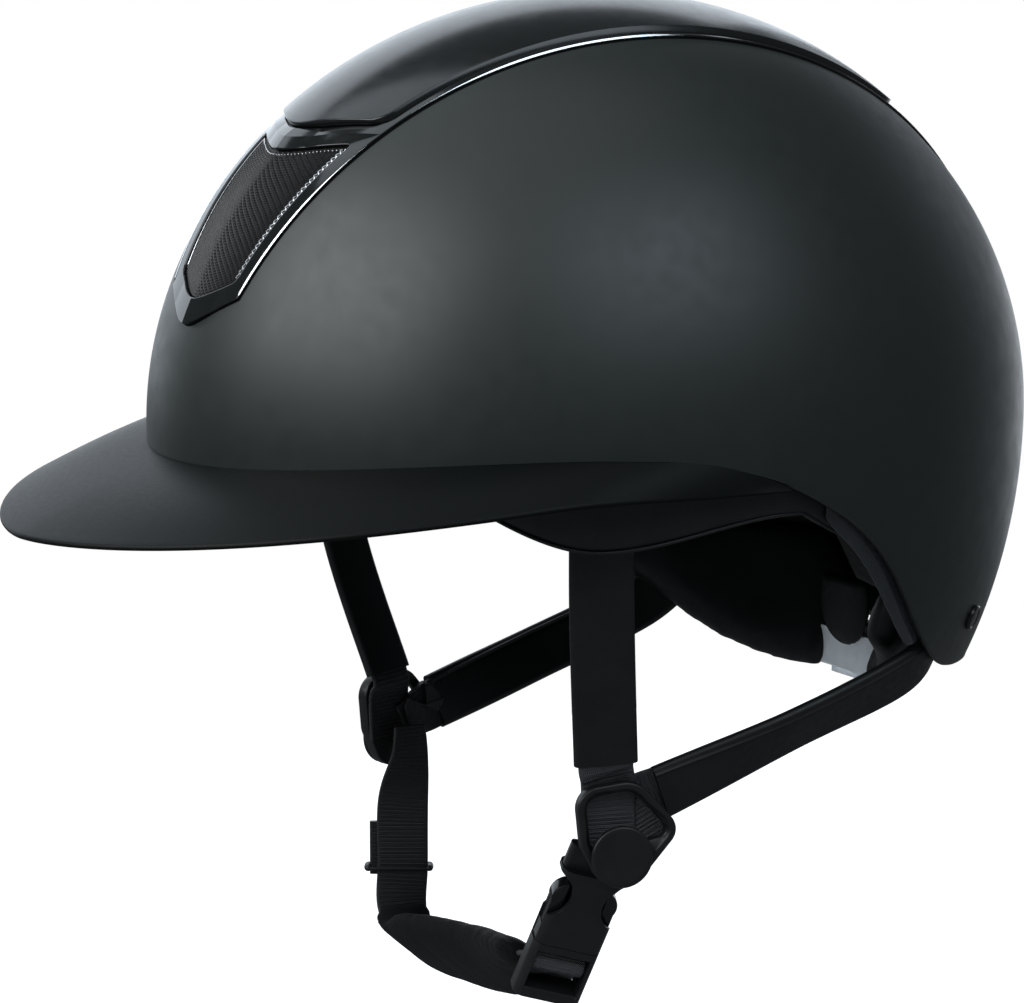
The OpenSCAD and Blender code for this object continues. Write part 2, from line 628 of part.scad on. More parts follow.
// Straps: hand-chosen knots from the shell down to the dividers, given for the left side.
// The right divider hangs a little higher, so that side has its own low knots
tilt_front = [cos(22), -sin(22), 0];
tilt_rear = unit([0.84, 0.2, -0.5]);
function flipped(v, side) = [side * v[0], v[1], v[2]];
front_top = [shell_w - 23.5, -44, 6];
front_mid = [shell_w - 27, -42.3, -40];
front_low_left = [divider_x - 1.2, -33.9, -88];
front_low_right = [divider_x - 4.4, -33.9, -86];
function front_low(side) = flipped(side > 0 ? front_low_left : front_low_right, side);
module front_sleeve(side) {
    n = flipped(tilt_front, side);
    color([0.06, 0.06, 0.065]) ribbon([[flipped(front_top, side), n, sleeve_w, sleeve_t],
        [flipped(front_mid, side), n, sleeve_w, sleeve_t],
        [front_low(side), n, sleeve_w, sleeve_t]], 5);
}
module front_sleeve_left() front_sleeve(1);
module front_sleeve_right() front_sleeve(-1);

// The rear strap starts under the shell's rivet and leaves the shell at the nape corner
strap_off = -shell_t - strap_gap - sleeve_t / 2;
rear_start = shell_pt(rivet_angle + 5, lat(rivet_z - 4), strap_off);
rear_leave = shell_pt(rivet_angle - 3, lat(rivet_z - 7), strap_off);
rear_side_angle = 122.1;
rear_side_left = shell_pt(rear_side_angle, lat(-72.6), strap_off + 1.3);
rear_side_right = shell_pt(rear_side_angle, lat(-76.8), strap_off + 2);
rear_bow_left = [shell_w - 30.5, 22, -82.5];
rear_bow_right = [shell_w - 31, 22, -88];
function rear_bow(side) = flipped(side > 0 ? rear_bow_left : rear_bow_right, side);
rear_low_n = unit([0.96, -0.1, -0.2]);
rear_low_left = [divider_x, -14.2, -97];
rear_low_right = [divider_x + 0.3, -13.5, -96.7];
function rear_low(side) = flipped(side > 0 ? rear_low_left : rear_low_right, side);
rear_sleeve_w = sleeve_w - 1;
module rear_sleeve(side) {
    function knot_at(p, n) = [flipped(p, side), flipped(n, side), rear_sleeve_w, sleeve_t];
    color([0.06, 0.06, 0.065]) difference() {
        ribbon([knot_at(rear_start, rivet_n), knot_at(rear_leave, rivet_n),
            knot_at(side > 0 ? rear_side_left : rear_side_right, unit([0.82, 0.42, -0.35])),
            [rear_bow(side), flipped(tilt_rear, side), rear_sleeve_w, sleeve_t],
            [rear_low(side), flipped(rear_low_n, side), rear_sleeve_w, sleeve_t]], 4);
        rivet_bores(rivet_stem_r + pin_play);
    }
}
module rear_sleeve_left() rear_sleeve(1);
module rear_sleeve_right() rear_sleeve(-1);

// Webbing between each sleeve's end and its divider: it lies behind the divider's plate,
// the front strap's next to the plate and the rear strap's one layer further in
web_layer_1 = -(divider_t + web_t) / 2 - 2 * seat_gap;
web_layer_2 = web_layer_1 - web_t - 2 * seat_gap;
web_start = 0.6;
web_straight = 3;
rear_straight = 5;
// How far the rear webbing is drawn in on its way behind the front webbing
rear_draw = 1.4;
web_enter_left = 19.5;
web_enter_right = 14;
front_web_low = 5.5;
// Where each rear webbing ends behind its divider, as [back, up]
rear_web_end_left = [4.5, 13.2];
rear_web_end_right = [7.5, 10];
function web_knot(p, n) = [p, n, web_w, web_t];
module front_webbing(side) {
    top = front_low(side);
    n = flipped(tilt_front, side);
    d = unit(top - flipped(front_mid, side));
    color([0.05, 0.05, 0.05]) ribbon([web_knot(top + web_start * d, n),
        web_knot(top + (side > 0 ? web_start + 1 : web_straight) * d, n),
        web_knot(on_divider(side, -3.2, side > 0 ? web_enter_left : web_enter_right, web_layer_1),
            divider_e3(side)),
        web_knot(on_divider(side, -3.2, front_web_low, web_layer_1), divider_e3(side))], 2);
}
module front_webbing_left() front_webbing(1);
module front_webbing_right() front_webbing(-1);
module rear_webbing(side) {
    top = rear_low(side);
    n = flipped(rear_low_n, side);
    d = unit(top - rear_bow(side));
    end = side > 0 ? rear_web_end_left : rear_web_end_right;
    color([0.05, 0.05, 0.05]) ribbon([web_knot(top + web_start * d, n),
        web_knot(top + rear_straight * d - rear_draw * divider_e3(side), divider_e3(side)),
        web_knot(on_divider(side, end[0], end[1], web_layer_2), divider_e3(side))], 3);
}
module rear_webbing_left() rear_webbing(1);
module rear_webbing_right() rear_webbing(-1);

// Dividers: a plate with a window, a raised rim and a bore for the pivot pin.
// Each corner is [back, up, radius]
divider_rim = 0.8;
rim_w = 1.8;
window_inset = 2.9;
divider_foot_r = cap_r + 0.2;
// The cap and the foot under it sit a little ahead of the pin
cap_shift = [-0.7, 0.3];
divider_corners = [[-6.2, 5, 6], [-6.6, 13.8, 6.5], [0.5, 12.4, 8.8], [10, 7.2, 5.2]];
module divider_outline(grow = 0) {
    hull() {
        translate(cap_shift) circle(r = divider_foot_r + grow);
        for (c = divider_corners) translate([c[0], c[1]]) circle(r = c[2] + grow);
    }
}
window_foot = 6.4;
module divider_window() {
    difference() {
        hull() for (c = divider_corners) translate([c[0], c[1]]) circle(r = c[2] - window_inset);
        circle(r = window_foot);
    }
}
module divider(side) {
    color([0.07, 0.07, 0.075]) difference() {
        divider_frame(side) difference() {
            union() {
                translate([0, 0, -divider_t / 2]) linear_extrude(divider_t) divider_outline();
                translate([0, 0, divider_t / 2]) linear_extrude(divider_rim) difference() {
                    divider_outline();
                    divider_outline(-rim_w);
                }
            }
            translate([0, 0, -divider_t]) linear_extrude(2 * divider_t) divider_window();
        }
        aimed(pivot(side), pivot_axis)
            cylinder(r = pin_r + pin_play, h = 4 * divider_t, center = true);
    }
}
module divider_left() divider(1);
module divider_right() divider(-1);
cap_gap = 0.1;
cap_t = 1.8;
module cap(side) {
    // Round cap over the pin, on the divider's outer face
    color([0.06, 0.06, 0.065]) divider_frame(side)
        translate([cap_shift[0], cap_shift[1], divider_t / 2 + divider_rim + cap_gap])
            cylinder(r = cap_r, h = cap_t);
}
module cap_left() cap(1);
module cap_right() cap(-1);

// Pins that the chin loop hangs on, one through each divider, on one common line
eye_gap = 4.2;
eye_t = 3.2;
eye_r = 5.6;
pin_in = divider_t / 2 + eye_gap + eye_t + 0.4;
module pivot_pins() {
    color([0.3, 0.3, 0.32]) for (side = [-1, 1])
        aimed(pivot(side) - side * pin_in * pivot_axis, side * pivot_axis)
            cylinder(r = pin_r, h = pin_in + divider_t / 2 - 0.4);
}

// Buckle axes: q across (forwards), s down along the buckle, n outwards
buckle_s = unit([-0.4, -0.16, -0.9]);
buckle_turn = 20;
flat_q = unit(cross(cross(buckle_s, [0, -1, 0]), buckle_s));
flat_n = cross(flat_q, buckle_s);
buckle_q = cos(buckle_turn) * flat_q - sin(buckle_turn) * flat_n;
buckle_n = cross(buckle_q, buckle_s);
buckle_shift = 1.2;
buckle_o = pivot(1) - (divider_t / 2 + eye_gap + eye_t / 2) * [1, 0, 0] + buckle_shift * buckle_q;
module buckle_frame() {
    q = buckle_q;
    s = buckle_s;
    n = buckle_n;
    o = buckle_o;
    multmatrix([[q[0], s[0], n[0], o[0]], [q[1], s[1], n[1], o[1]], [q[2], s[2], n[2], o[2]],
        [0, 0, 0, 1]]) children();
}
function on_buckle(q, s, n) = buckle_o + q * buckle_q + s * buckle_s + n * buckle_n;

// Lengths along the buckle, measured down from the socket's top
flange_len = 7.4;
mouth_s = 32;
neck_w = 9.4;
pocket_s = 15.9;
pocket_r = 7.6;
core_w = 4.8;
core_end = 19;
channel_t = 5.4;
flange_t = 3.6;
side_round = 3;
// Radius of the room that the socket leaves round the pin for the divider's plate
plate_room = 20;
// Section of the buckle across s: a slab with rounded sides
module slab(s0, s1, w, t) {
    r = min(side_round, t / 2 - 0.4);
    translate([0, s0, 0]) rotate([-90, 0, 0]) linear_extrude(s1 - s0) {
        square([w - 2 * r, t], center = true);
        square([w, t - 2 * r], center = true);
        for (x = [-1, 1]) for (y = [-1, 1]) translate([x * (w / 2 - r), y * (t / 2 - r)]) circle(r = r);
    }
}
module buckle_socket() {
    h = buckle_w / 2;
    color([0.07, 0.07, 0.075]) difference() {
        union() {
            buckle_frame() difference() {
                slab(flange_len, mouth_s, buckle_w, buckle_t);
                // Pockets beside the neck, where the latch arms are pressed
                for (m = [-1, 1]) translate([m * (neck_w / 2 + pocket_r), pocket_s, 0])
                    cylinder(r = pocket_r, h = 2 * buckle_t, center = true);
                // Way for the plug and its arms, open at both sides up to the core
                for (m = [0, 1]) mirror([m, 0, 0]) translate([core_w / 2, flange_len + 2, -channel_t / 2])
                    cube([h, mouth_s - flange_len, channel_t]);
                translate([-h / 2, core_end, -channel_t / 2]) cube([h, mouth_s - core_end + 1, channel_t]);
            }
            buckle_frame() slab(0, flange_len + 1, buckle_w - 0.6, flange_t);
            aimed(pivot(1) - (divider_t / 2 + eye_gap + eye_t) * pivot_axis, pivot_axis)
                cylinder(r = eye_r, h = eye_t);
        }
        aimed(pivot(1), pivot_axis) cylinder(r = pin_r + pin_play, h = 40, center = true);
        // Room above the flange for the divider's plate
        aimed(pivot(1) - (divider_t / 2 + eye_gap) * pivot_axis, pivot_axis)
            cylinder(r = plate_room, h = 10);
    }
}
// Plug: an open frame with a bar for the webbing, and a root that carries the latch arms
plug_s0 = mouth_s + run_gap;
plug_len = 18;
plug_end = plug_s0 + plug_len;
root_s = 27;
root_t = 4.8;
root_w = buckle_w - 1.2;
tongue_w = 4;
tongue_t = 3;
tongue_tip = core_end + 0.8;
hinge_s = 29.6;
hinge_q = buckle_w / 2 - 2.8;
hinge_r = 1.5;
hinge_neck = 1.5;
window_wall = 2.1;
window_s0 = plug_s0 + 2.2;
window_s1 = plug_end - 3.4;
bar_s = window_s0 + 4.6;
bar_r = 1.5;
module buckle_plug() {
    h = buckle_w / 2;
    win_w = buckle_w - 2 * window_wall;
    color([0.07, 0.07, 0.075]) buckle_frame() {
        difference() {
            union() {
                slab(plug_s0, plug_end, buckle_w, buckle_t);
                translate([-root_w / 2, root_s, -root_t / 2]) cube([root_w, plug_s0 - root_s + 1, root_t]);
            }
            translate([-win_w / 2, window_s0, -buckle_t]) cube([win_w, window_s1 - window_s0, 2 * buckle_t]);
            for (m = [-1, 1]) {
                translate([m * hinge_q, hinge_s, 0])
                    cylinder(r = hinge_r + pin_play, h = root_t + 1, center = true);
                translate([m * hinge_q - hinge_neck / 2 - 0.4, root_s - 1, -root_t / 2 - 0.5])
                    cube([hinge_neck + 0.8, hinge_s - root_s + 1, root_t + 1]);
            }
        }
        translate([-tongue_w / 2, tongue_tip, -tongue_t / 2])
            cube([tongue_w, root_s - tongue_tip + 1, tongue_t]);
        translate([0, bar_s, 0]) rotate([0, 90, 0]) cylinder(r = bar_r, h = win_w + 1, center = true);
    }
}
// Latch arms: each turns on its root and carries a rounded thumb pad in the socket's pocket
arm_t = 4.6;
arm_in = 6.3;
arm_out = buckle_w / 2 - 0.6;
arm_low = root_s - 0.5;
ear_s = 17.4;
ear_r = 5.1;
ear_out = buckle_w / 2 - 0.3;
module latch_arm(m) {
    color([0.07, 0.07, 0.075]) buckle_frame() mirror([m > 0 ? 0 : 1, 0, 0])
        translate([0, 0, -arm_t / 2]) linear_extrude(arm_t) {
            translate([hinge_q, hinge_s]) circle(r = hinge_r);
            translate([hinge_q - hinge_neck / 2, arm_low - 1]) square([hinge_neck, hinge_s - arm_low + 1]);
            translate([arm_in, ear_s]) square([arm_out - arm_in, arm_low - ear_s]);
            intersection() {
                translate([ear_out - ear_r, ear_s]) circle(r = ear_r);
                translate([arm_in - 0.4, ear_s - ear_r]) square([ear_r, 2 * ear_r]);
            }
        }
}
module latch_arm_front() latch_arm(1);
module latch_arm_rear() latch_arm(-1);

// Chin webbing: from the right divider down and under the chin to the plug
far_eye_r = 3.4;
far_top = pivot(-1) + (divider_t / 2 + eye_gap + eye_t / 2) * pivot_axis;
far_flat = [-1, 0, 0];
far_turned = unit([-0.88, 0.47, 0]);
chin_far = [7.5 - divider_x, -30.8, -146];
pad_tilt = unit([0, -0.8, -0.6]);
function chin_knot(p, n, w = web_w, h = web_t) = [p, n, w, h];
pad_end = on_buckle(1, bar_s + 8, -buckle_t / 2 - chin_pad_t / 2 - 1);
pad_end_n = unit([0.5, -0.5, -0.7]);
chin_start = [[7.4 - divider_x, -30.6, -127], [8.4 - divider_x, -31.6, -158.5]];
chin_turn_n = unit([-0.85, 0.2, -0.45]);
pad_turn = [15.5 - divider_x, -31.5, -167];
pad_turn_n = unit([-0.35, -0.6, -0.7]);
pad_mid = [-28, -31, -164.8];
pad_near = [2, -31.5, -161];
far_knot = 3;
near_knot = 7;
// The webbing's whole run; the pad takes the same points with its own widths
chin_run = [chin_knot(far_top - [0, 0, far_eye_r - 1], far_flat), chin_knot(chin_start[0], far_turned),
    chin_knot(chin_far, far_turned), chin_knot(chin_start[1], chin_turn_n),
    chin_knot(pad_turn, pad_turn_n), chin_knot(pad_mid, pad_tilt), chin_knot(pad_near, pad_tilt),
    chin_knot(pad_end, pad_end_n), chin_knot(on_buckle(0, bar_s + 6, -buckle_t / 2 - 1.6), buckle_n),
    chin_knot(on_buckle(0, bar_s + 3.4, -0.4), unit(buckle_n + 0.4 * buckle_s))];
mouth_gap = 0.04;
module chin_webbing() {
    color([0.05, 0.05, 0.05]) {
        ribbon(chin_run, 4, false, 0, far_knot - mouth_gap);
        difference() {
            aimed(far_top - eye_t / 2 * pivot_axis, pivot_axis) cylinder(r = far_eye_r, h = eye_t);
            aimed(far_top, pivot_axis) cylinder(r = pin_r + pin_play, h = 40, center = true);
        }
    }
}
// Webbing from the pad's near end to the plug's bar
module chin_end() color([0.05, 0.05, 0.05])
    ribbon(chin_run, 3, false, near_knot + mouth_gap, len(chin_run) - 1);

// Loose end of the webbing, held against the long run by the keeper
tail_lift = web_t + 0.6;
tail_side = 2.4;
tail_top_z = -133;
across_far = [-far_turned[1], far_turned[0], 0];
tail_at = chin_far + tail_lift * far_turned + tail_side * across_far;
module webbing_tail() {
    top = [tail_at[0], tail_at[1], tail_top_z];
    foot = [tail_at[0], tail_at[1], chin_start[1][2] + 6];
    color([0.05, 0.05, 0.05]) ribbon([for (p = [top, tail_at, foot]) chin_knot(p, far_turned)], 3);
}
keeper_wire = 0.7;
keeper_z = -147;
module keeper_ring() {
    // Rubber loop round both layers: w and h are its inner half sizes
    n = far_turned;
    e1 = across_far;
    w = web_w / 2 + tail_side / 2 + 0.2;
    h = web_t + 0.9;
    p = chin_far + tail_lift / 2 * n + tail_side / 2 * e1;
    color([0.03, 0.03, 0.03]) multmatrix([[e1[0], n[0], 0, p[0]], [e1[1], n[1], 0, p[1]],
        [0, 0, 1, keeper_z], [0, 0, 0, 1]]) difference() {
            cube([2 * (w + keeper_wire), 2 * (h + keeper_wire), 2 * keeper_wire], center = true);
            cube([2 * w, 2 * h, 3 * keeper_wire], center = true);
        }
}
// Chin pad: a soft sleeve round the webbing under the chin, narrow at its far mouth
pad_mouth_w = web_w + 3;
pad_mouth_t = web_t + 4;
module chin_pad() {
    k = [for (i = [0:len(chin_run) - 1]) let(p = chin_run[i])
        [p[0], p[1], i <= far_knot ? pad_mouth_w : i == near_knot ? chin_pad_w - 4 : chin_pad_w,
         i <= far_knot ? pad_mouth_t : chin_pad_t]];
    color([0.05, 0.05, 0.055]) ribbon(k, 5, true, far_knot, near_knot);
}

outer_shell();
peak();
centre_frame();
top_cover();
front_mesh();
rear_mesh();
impact_liner();
crown_pad();
head_band();
side_trim_left();
side_trim_right();
arch_trim_left();
arch_trim_right();
nape_pad_left();
nape_pad_right();
nape_cradle();
nape_tab();
dial_housing();
dial_knob();
dial_shaft();
belt_left();
belt_right();
strap_rivets();
front_sleeve_left();
front_sleeve_right();
rear_sleeve_left();
rear_sleeve_right();
front_webbing_left();
front_webbing_right();
rear_webbing_left();
rear_webbing_right();
divider_left();
divider_right();
cap_left();
cap_right();
pivot_pins();
buckle_socket();
buckle_plug();
latch_arm_front();
latch_arm_rear();
chin_webbing();
chin_end();
webbing_tail();
keeper_ring();
chin_pad();
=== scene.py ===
# %% [markdown]
# A riding helmet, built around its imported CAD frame.
# The CAD model holds the sizes and everything that moves. This lesson dresses it: each visible piece
# gets a smooth surface worked out with numpy, and a procedural material. All sizes here are in
# millimetres, and one function turns them into Blender's metres at the end.

# %% Load the frame
import math

import bmesh
import bpy
import numpy as np
from mathutils import Matrix, Vector


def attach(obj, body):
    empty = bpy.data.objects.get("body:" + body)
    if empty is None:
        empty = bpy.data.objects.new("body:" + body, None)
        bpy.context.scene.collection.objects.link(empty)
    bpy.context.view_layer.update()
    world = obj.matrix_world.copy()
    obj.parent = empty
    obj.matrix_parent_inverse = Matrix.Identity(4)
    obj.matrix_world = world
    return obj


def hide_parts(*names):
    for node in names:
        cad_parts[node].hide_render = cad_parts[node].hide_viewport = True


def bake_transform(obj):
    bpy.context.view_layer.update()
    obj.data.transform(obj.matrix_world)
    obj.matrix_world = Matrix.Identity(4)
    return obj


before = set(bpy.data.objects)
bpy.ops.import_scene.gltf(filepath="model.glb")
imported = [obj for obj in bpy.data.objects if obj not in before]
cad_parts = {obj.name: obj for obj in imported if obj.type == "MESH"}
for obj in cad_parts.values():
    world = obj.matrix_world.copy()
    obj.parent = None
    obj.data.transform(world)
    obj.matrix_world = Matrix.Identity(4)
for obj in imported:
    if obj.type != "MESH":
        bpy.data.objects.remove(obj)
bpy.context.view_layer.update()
MM = 0.001

# %% [markdown]
# The camera stands where the photographer stood: a little in front of the wearer's left, and slightly
# above the helmet's widest line. A long lens keeps the perspective as weak as it is in the photograph.

# %% Camera
CAMERA_AZIMUTH, CAMERA_ELEVATION = math.radians(61.7), math.radians(9.0)
CAMERA_DISTANCE = 1.2
FOCAL_PIXELS = 4112.6
FRAME_PIXELS = np.array([1024.0, 1003.0])
ORIGIN_PIXEL = np.array([591.5, 410.4])


def camera_axes():
    """Unit vectors from the object to the camera, to the picture's right and to its top."""
    back = np.array([math.sin(CAMERA_AZIMUTH) * math.cos(CAMERA_ELEVATION),
                     -math.cos(CAMERA_AZIMUTH) * math.cos(CAMERA_ELEVATION),
                     math.sin(CAMERA_ELEVATION)])
    right = np.array([math.cos(CAMERA_AZIMUTH), math.sin(CAMERA_AZIMUTH), 0.0])
    return back, right, np.cross(back, right)


def placed(name, data, material=None):
    """A new object in the scene, with its material."""
    obj = bpy.data.objects.new(name, data)
    bpy.context.scene.collection.objects.link(obj)
    if material:
        data.materials.append(material)
    return obj


def place_camera():
    """Puts the camera so that the helmet's origin lands on ORIGIN_PIXEL."""
    back, right, up = camera_axes()
    shift = (ORIGIN_PIXEL - FRAME_PIXELS / 2) / FOCAL_PIXELS * CAMERA_DISTANCE
    target = -shift[0] * right + shift[1] * up
    lens = bpy.data.cameras.new("camera")
    lens.sensor_width = 36.0
    lens.lens = FOCAL_PIXELS / FRAME_PIXELS[0] * lens.sensor_width
    camera = placed("camera", lens)
    spot = target + CAMERA_DISTANCE * back
    camera.matrix_world = Matrix([[right[i], up[i], back[i], spot[i]] for i in range(3)] + [[0, 0, 0, 1]])
    bpy.context.scene.camera = camera


place_camera()

# %% [markdown]
# Every new piece is a grid of points with faces between them. These helpers join the points of a grid,
# cap its ends, merge doubles, turn the faces outwards and hand the mesh to the frame.

# %% Mesh helpers
UP = np.array([0, 0, 1.0])


def ease(t):
    """Smooth step from 0 to 1."""
    t = np.clip(t, 0.0, 1.0)
    return t * t * (3 - 2 * t)


def mix(a, b, t):
    """Straight blend from a to b."""
    return a + (b - a) * t


def rounded(t, least=0.02):
    """How far a round end has opened at share t of its depth: a quarter circle from 0 to 1."""
    return np.sqrt(1 - (1 - np.clip(t, least, 1)) ** 2)


def unit(v):
    """Vectors of length 1, along the last axis."""
    v = np.asarray(v, float)
    return v / np.linalg.norm(v, axis=-1, keepdims=True)


def full_turn(count):
    """Angles once round a circle."""
    return np.linspace(0, 2 * np.pi, count, endpoint=False)


def squared(x, power):
    """A sine or cosine pushed towards 1 or -1 by a power under 1: it turns a circle into a superellipse."""
    return np.sign(x) * np.abs(x) ** power


def swept(line, out, up, section):
    """A section of (out, up) places, carried along a line."""
    return np.stack([line + a * out + b * up for a, b in section], -2)


def grid_faces(rows, cols, wrap_rows=False, wrap_cols=False, first=0):
    """Quads between the points of a grid that is stored row by row."""
    i = np.arange(rows if wrap_rows else rows - 1)[:, None]
    j = np.arange(cols if wrap_cols else cols - 1)[None, :]
    a, b = i * cols + j, (i + 1) % rows * cols + j
    c, d = (i + 1) % rows * cols + (j + 1) % cols, i * cols + (j + 1) % cols
    return (np.stack([a, b, c, d], -1).reshape(-1, 4) + first).tolist()


def tube(grid):
    """Closed tube: rings of points, joined round each ring and capped at both ends."""
    rows, cols = grid.shape[:2]
    caps = [list(range(cols))[::-1], list(range((rows - 1) * cols, rows * cols))]
    return grid.reshape(-1, 3), grid_faces(rows, cols, wrap_cols=True) + caps


def cord(path, radius, sides, side, up):
    """Round cord along a path: a circle in the plane of side and up at each point."""
    turn = full_turn(sides)[None, :, None]
    return tube(path[:, None] + radius * (np.cos(turn) * side[:, None] + np.sin(turn) * up[:, None]))


def ring(grid):
    """Closed ring: the rows and the columns both come back to where they began."""
    rows, cols = grid.shape[:2]
    return grid.reshape(-1, 3), grid_faces(rows, cols, wrap_rows=True, wrap_cols=True)


def sheet(outer, inner):
    """Closed plate between two grids of the same shape: two skins and a wall round their border."""
    rows, cols = outer.shape[:2]
    count = rows * cols
    index = np.arange(count).reshape(rows, cols)
    border = np.concatenate([index[0], index[1:, -1], index[-1, -2::-1], index[-2:0:-1, 0]])
    after = np.roll(border, -1)
    walls = np.stack([border, after, after + count, border + count], -1).tolist()
    return (np.concatenate([outer.reshape(-1, 3), inner.reshape(-1, 3)]),
            grid_faces(rows, cols) + grid_faces(rows, cols, first=count) + walls)


def lathe(profile, turns, centre, axis):
    """Round piece: a profile of (radius, height) carried round an axis."""
    axis = unit(axis)
    first = unit(np.cross(axis, UP if abs(axis[2]) < 0.9 else [1.0, 0, 0]))
    second = np.cross(axis, first)
    t = full_turn(turns)[None, :, None]
    r, h = np.array(profile)[:, 0][:, None, None], np.array(profile)[:, 1][:, None, None]
    return tube(np.asarray(centre) + r * (np.cos(t) * first + np.sin(t) * second) + h * axis)


def joined(parts):
    """One point array and one face list from several."""
    points, faces, first = [], [], 0
    for part_points, part_faces in parts:
        points.append(part_points)
        faces += [[i + first for i in face] for face in part_faces]
        first += len(part_points)
    return np.concatenate(points), faces


def solid_mesh(name, parts, merge=0.002):
    """Blender mesh of closed parts: doubles merged, faces turned outwards."""
    points, faces = joined(parts)
    mesh = bpy.data.meshes.new(name)
    mesh.from_pydata((points * MM).tolist(), [], faces)
    work = bmesh.new()
    work.from_mesh(mesh)
    if merge:
        bmesh.ops.remove_doubles(work, verts=work.verts, dist=merge * MM)
    bmesh.ops.recalc_face_normals(work, faces=work.faces)
    work.to_mesh(mesh)
    work.free()
    return mesh


def finish_piece(obj, body, nodes, smooth):
    """Smooth shading up to an angle, the frame's body and the CAD nodes it stands for.
    """
    obj.data.shade_smooth()
    obj.data.set_sharp_from_angle(angle=math.radians(smooth))
    if body:
        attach(obj, body)
    if nodes:
        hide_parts(*nodes)
    print(f"{obj.name}: {len(obj.data.polygons)} faces on {body or 'two bodies'}")
    return obj


def piece(name, parts, material, body, slot, nodes=(), smooth=35, merge=0.002, modify=None):
    """A finished piece from point grids. modify may change the object before it is shaded."""
    obj = placed(name, solid_mesh(name, parts, merge), material)
    if modify:
        modify(obj)
    return finish_piece(obj, body, nodes, smooth)


def apply_modifiers(obj):
    """Bakes the object's modifiers into its mesh."""
    bpy.context.view_layer.update()
    graph = bpy.context.evaluated_depsgraph_get()
    mesh = bpy.data.meshes.new_from_object(obj.evaluated_get(graph), depsgraph=graph)
    obj.modifiers.clear()
    obj.data = mesh


def round_edges(obj, width, angle):
    """Rounds every edge sharper than an angle, and applies it."""
    edge = obj.modifiers.new("edge", "BEVEL")
    edge.width, edge.segments = width * MM, 3
    edge.limit_method, edge.angle_limit = "ANGLE", math.radians(angle)
    apply_modifiers(obj)


# %% [markdown]
# Stuffing. A pad is remeshed into small even faces, blown up for twenty steps as cloth without gravity,
# held back so that no point moves far, and smoothed once. Folds and seams are pressed in afterwards.

# %% Stuffing
PRESSURE, STEPS = 4.0, 20


def vertex_array(mesh):
    """Points of a mesh, in millimetres."""
    points = np.empty(len(mesh.vertices) * 3)
    mesh.vertices.foreach_get("co", points)
    return points.reshape(-1, 3) / MM


def set_vertices(mesh, points):
    mesh.vertices.foreach_set("co", (points * MM).ravel())
    mesh.update()


def stuffed(voxel, cap, rounds=3, press=None):
    """Swells a pad by at most cap millimetres, after rounds of smoothing.

    press then moves its points, for folds and seams.
    """
    def modify(obj):
        even = obj.modifiers.new("even", "REMESH")
        even.mode, even.voxel_size = "VOXEL", voxel * MM
        soft = obj.modifiers.new("soft", "SMOOTH")
        soft.factor, soft.iterations = 0.5, rounds
        apply_modifiers(obj)
        start = vertex_array(obj.data)
        cloth = obj.modifiers.new("cloth", "CLOTH")
        cloth.settings.use_pressure, cloth.settings.uniform_pressure_force = True, PRESSURE
        cloth.settings.effector_weights.gravity = 0.0
        cloth.point_cache.frame_start, cloth.point_cache.frame_end = 1, STEPS
        for step in range(1, STEPS + 1):
            bpy.context.scene.frame_set(step)
        apply_modifiers(obj)
        bpy.context.scene.frame_set(1)
        move = vertex_array(obj.data) - start
        far = np.linalg.norm(move, axis=1, keepdims=True)
        set_vertices(obj.data, start + move * cap / (cap + far))
        fine = obj.modifiers.new("fine", "SUBSURF")
        fine.levels = fine.render_levels = 1
        apply_modifiers(obj)
        if press:
            set_vertices(obj.data, press(vertex_array(obj.data)))
    return modify


# %% [markdown]
# Materials. Each is one Principled shader with small procedural patterns on Object coordinates, or on
# the piece's own strip map where the pattern has to follow a strap.

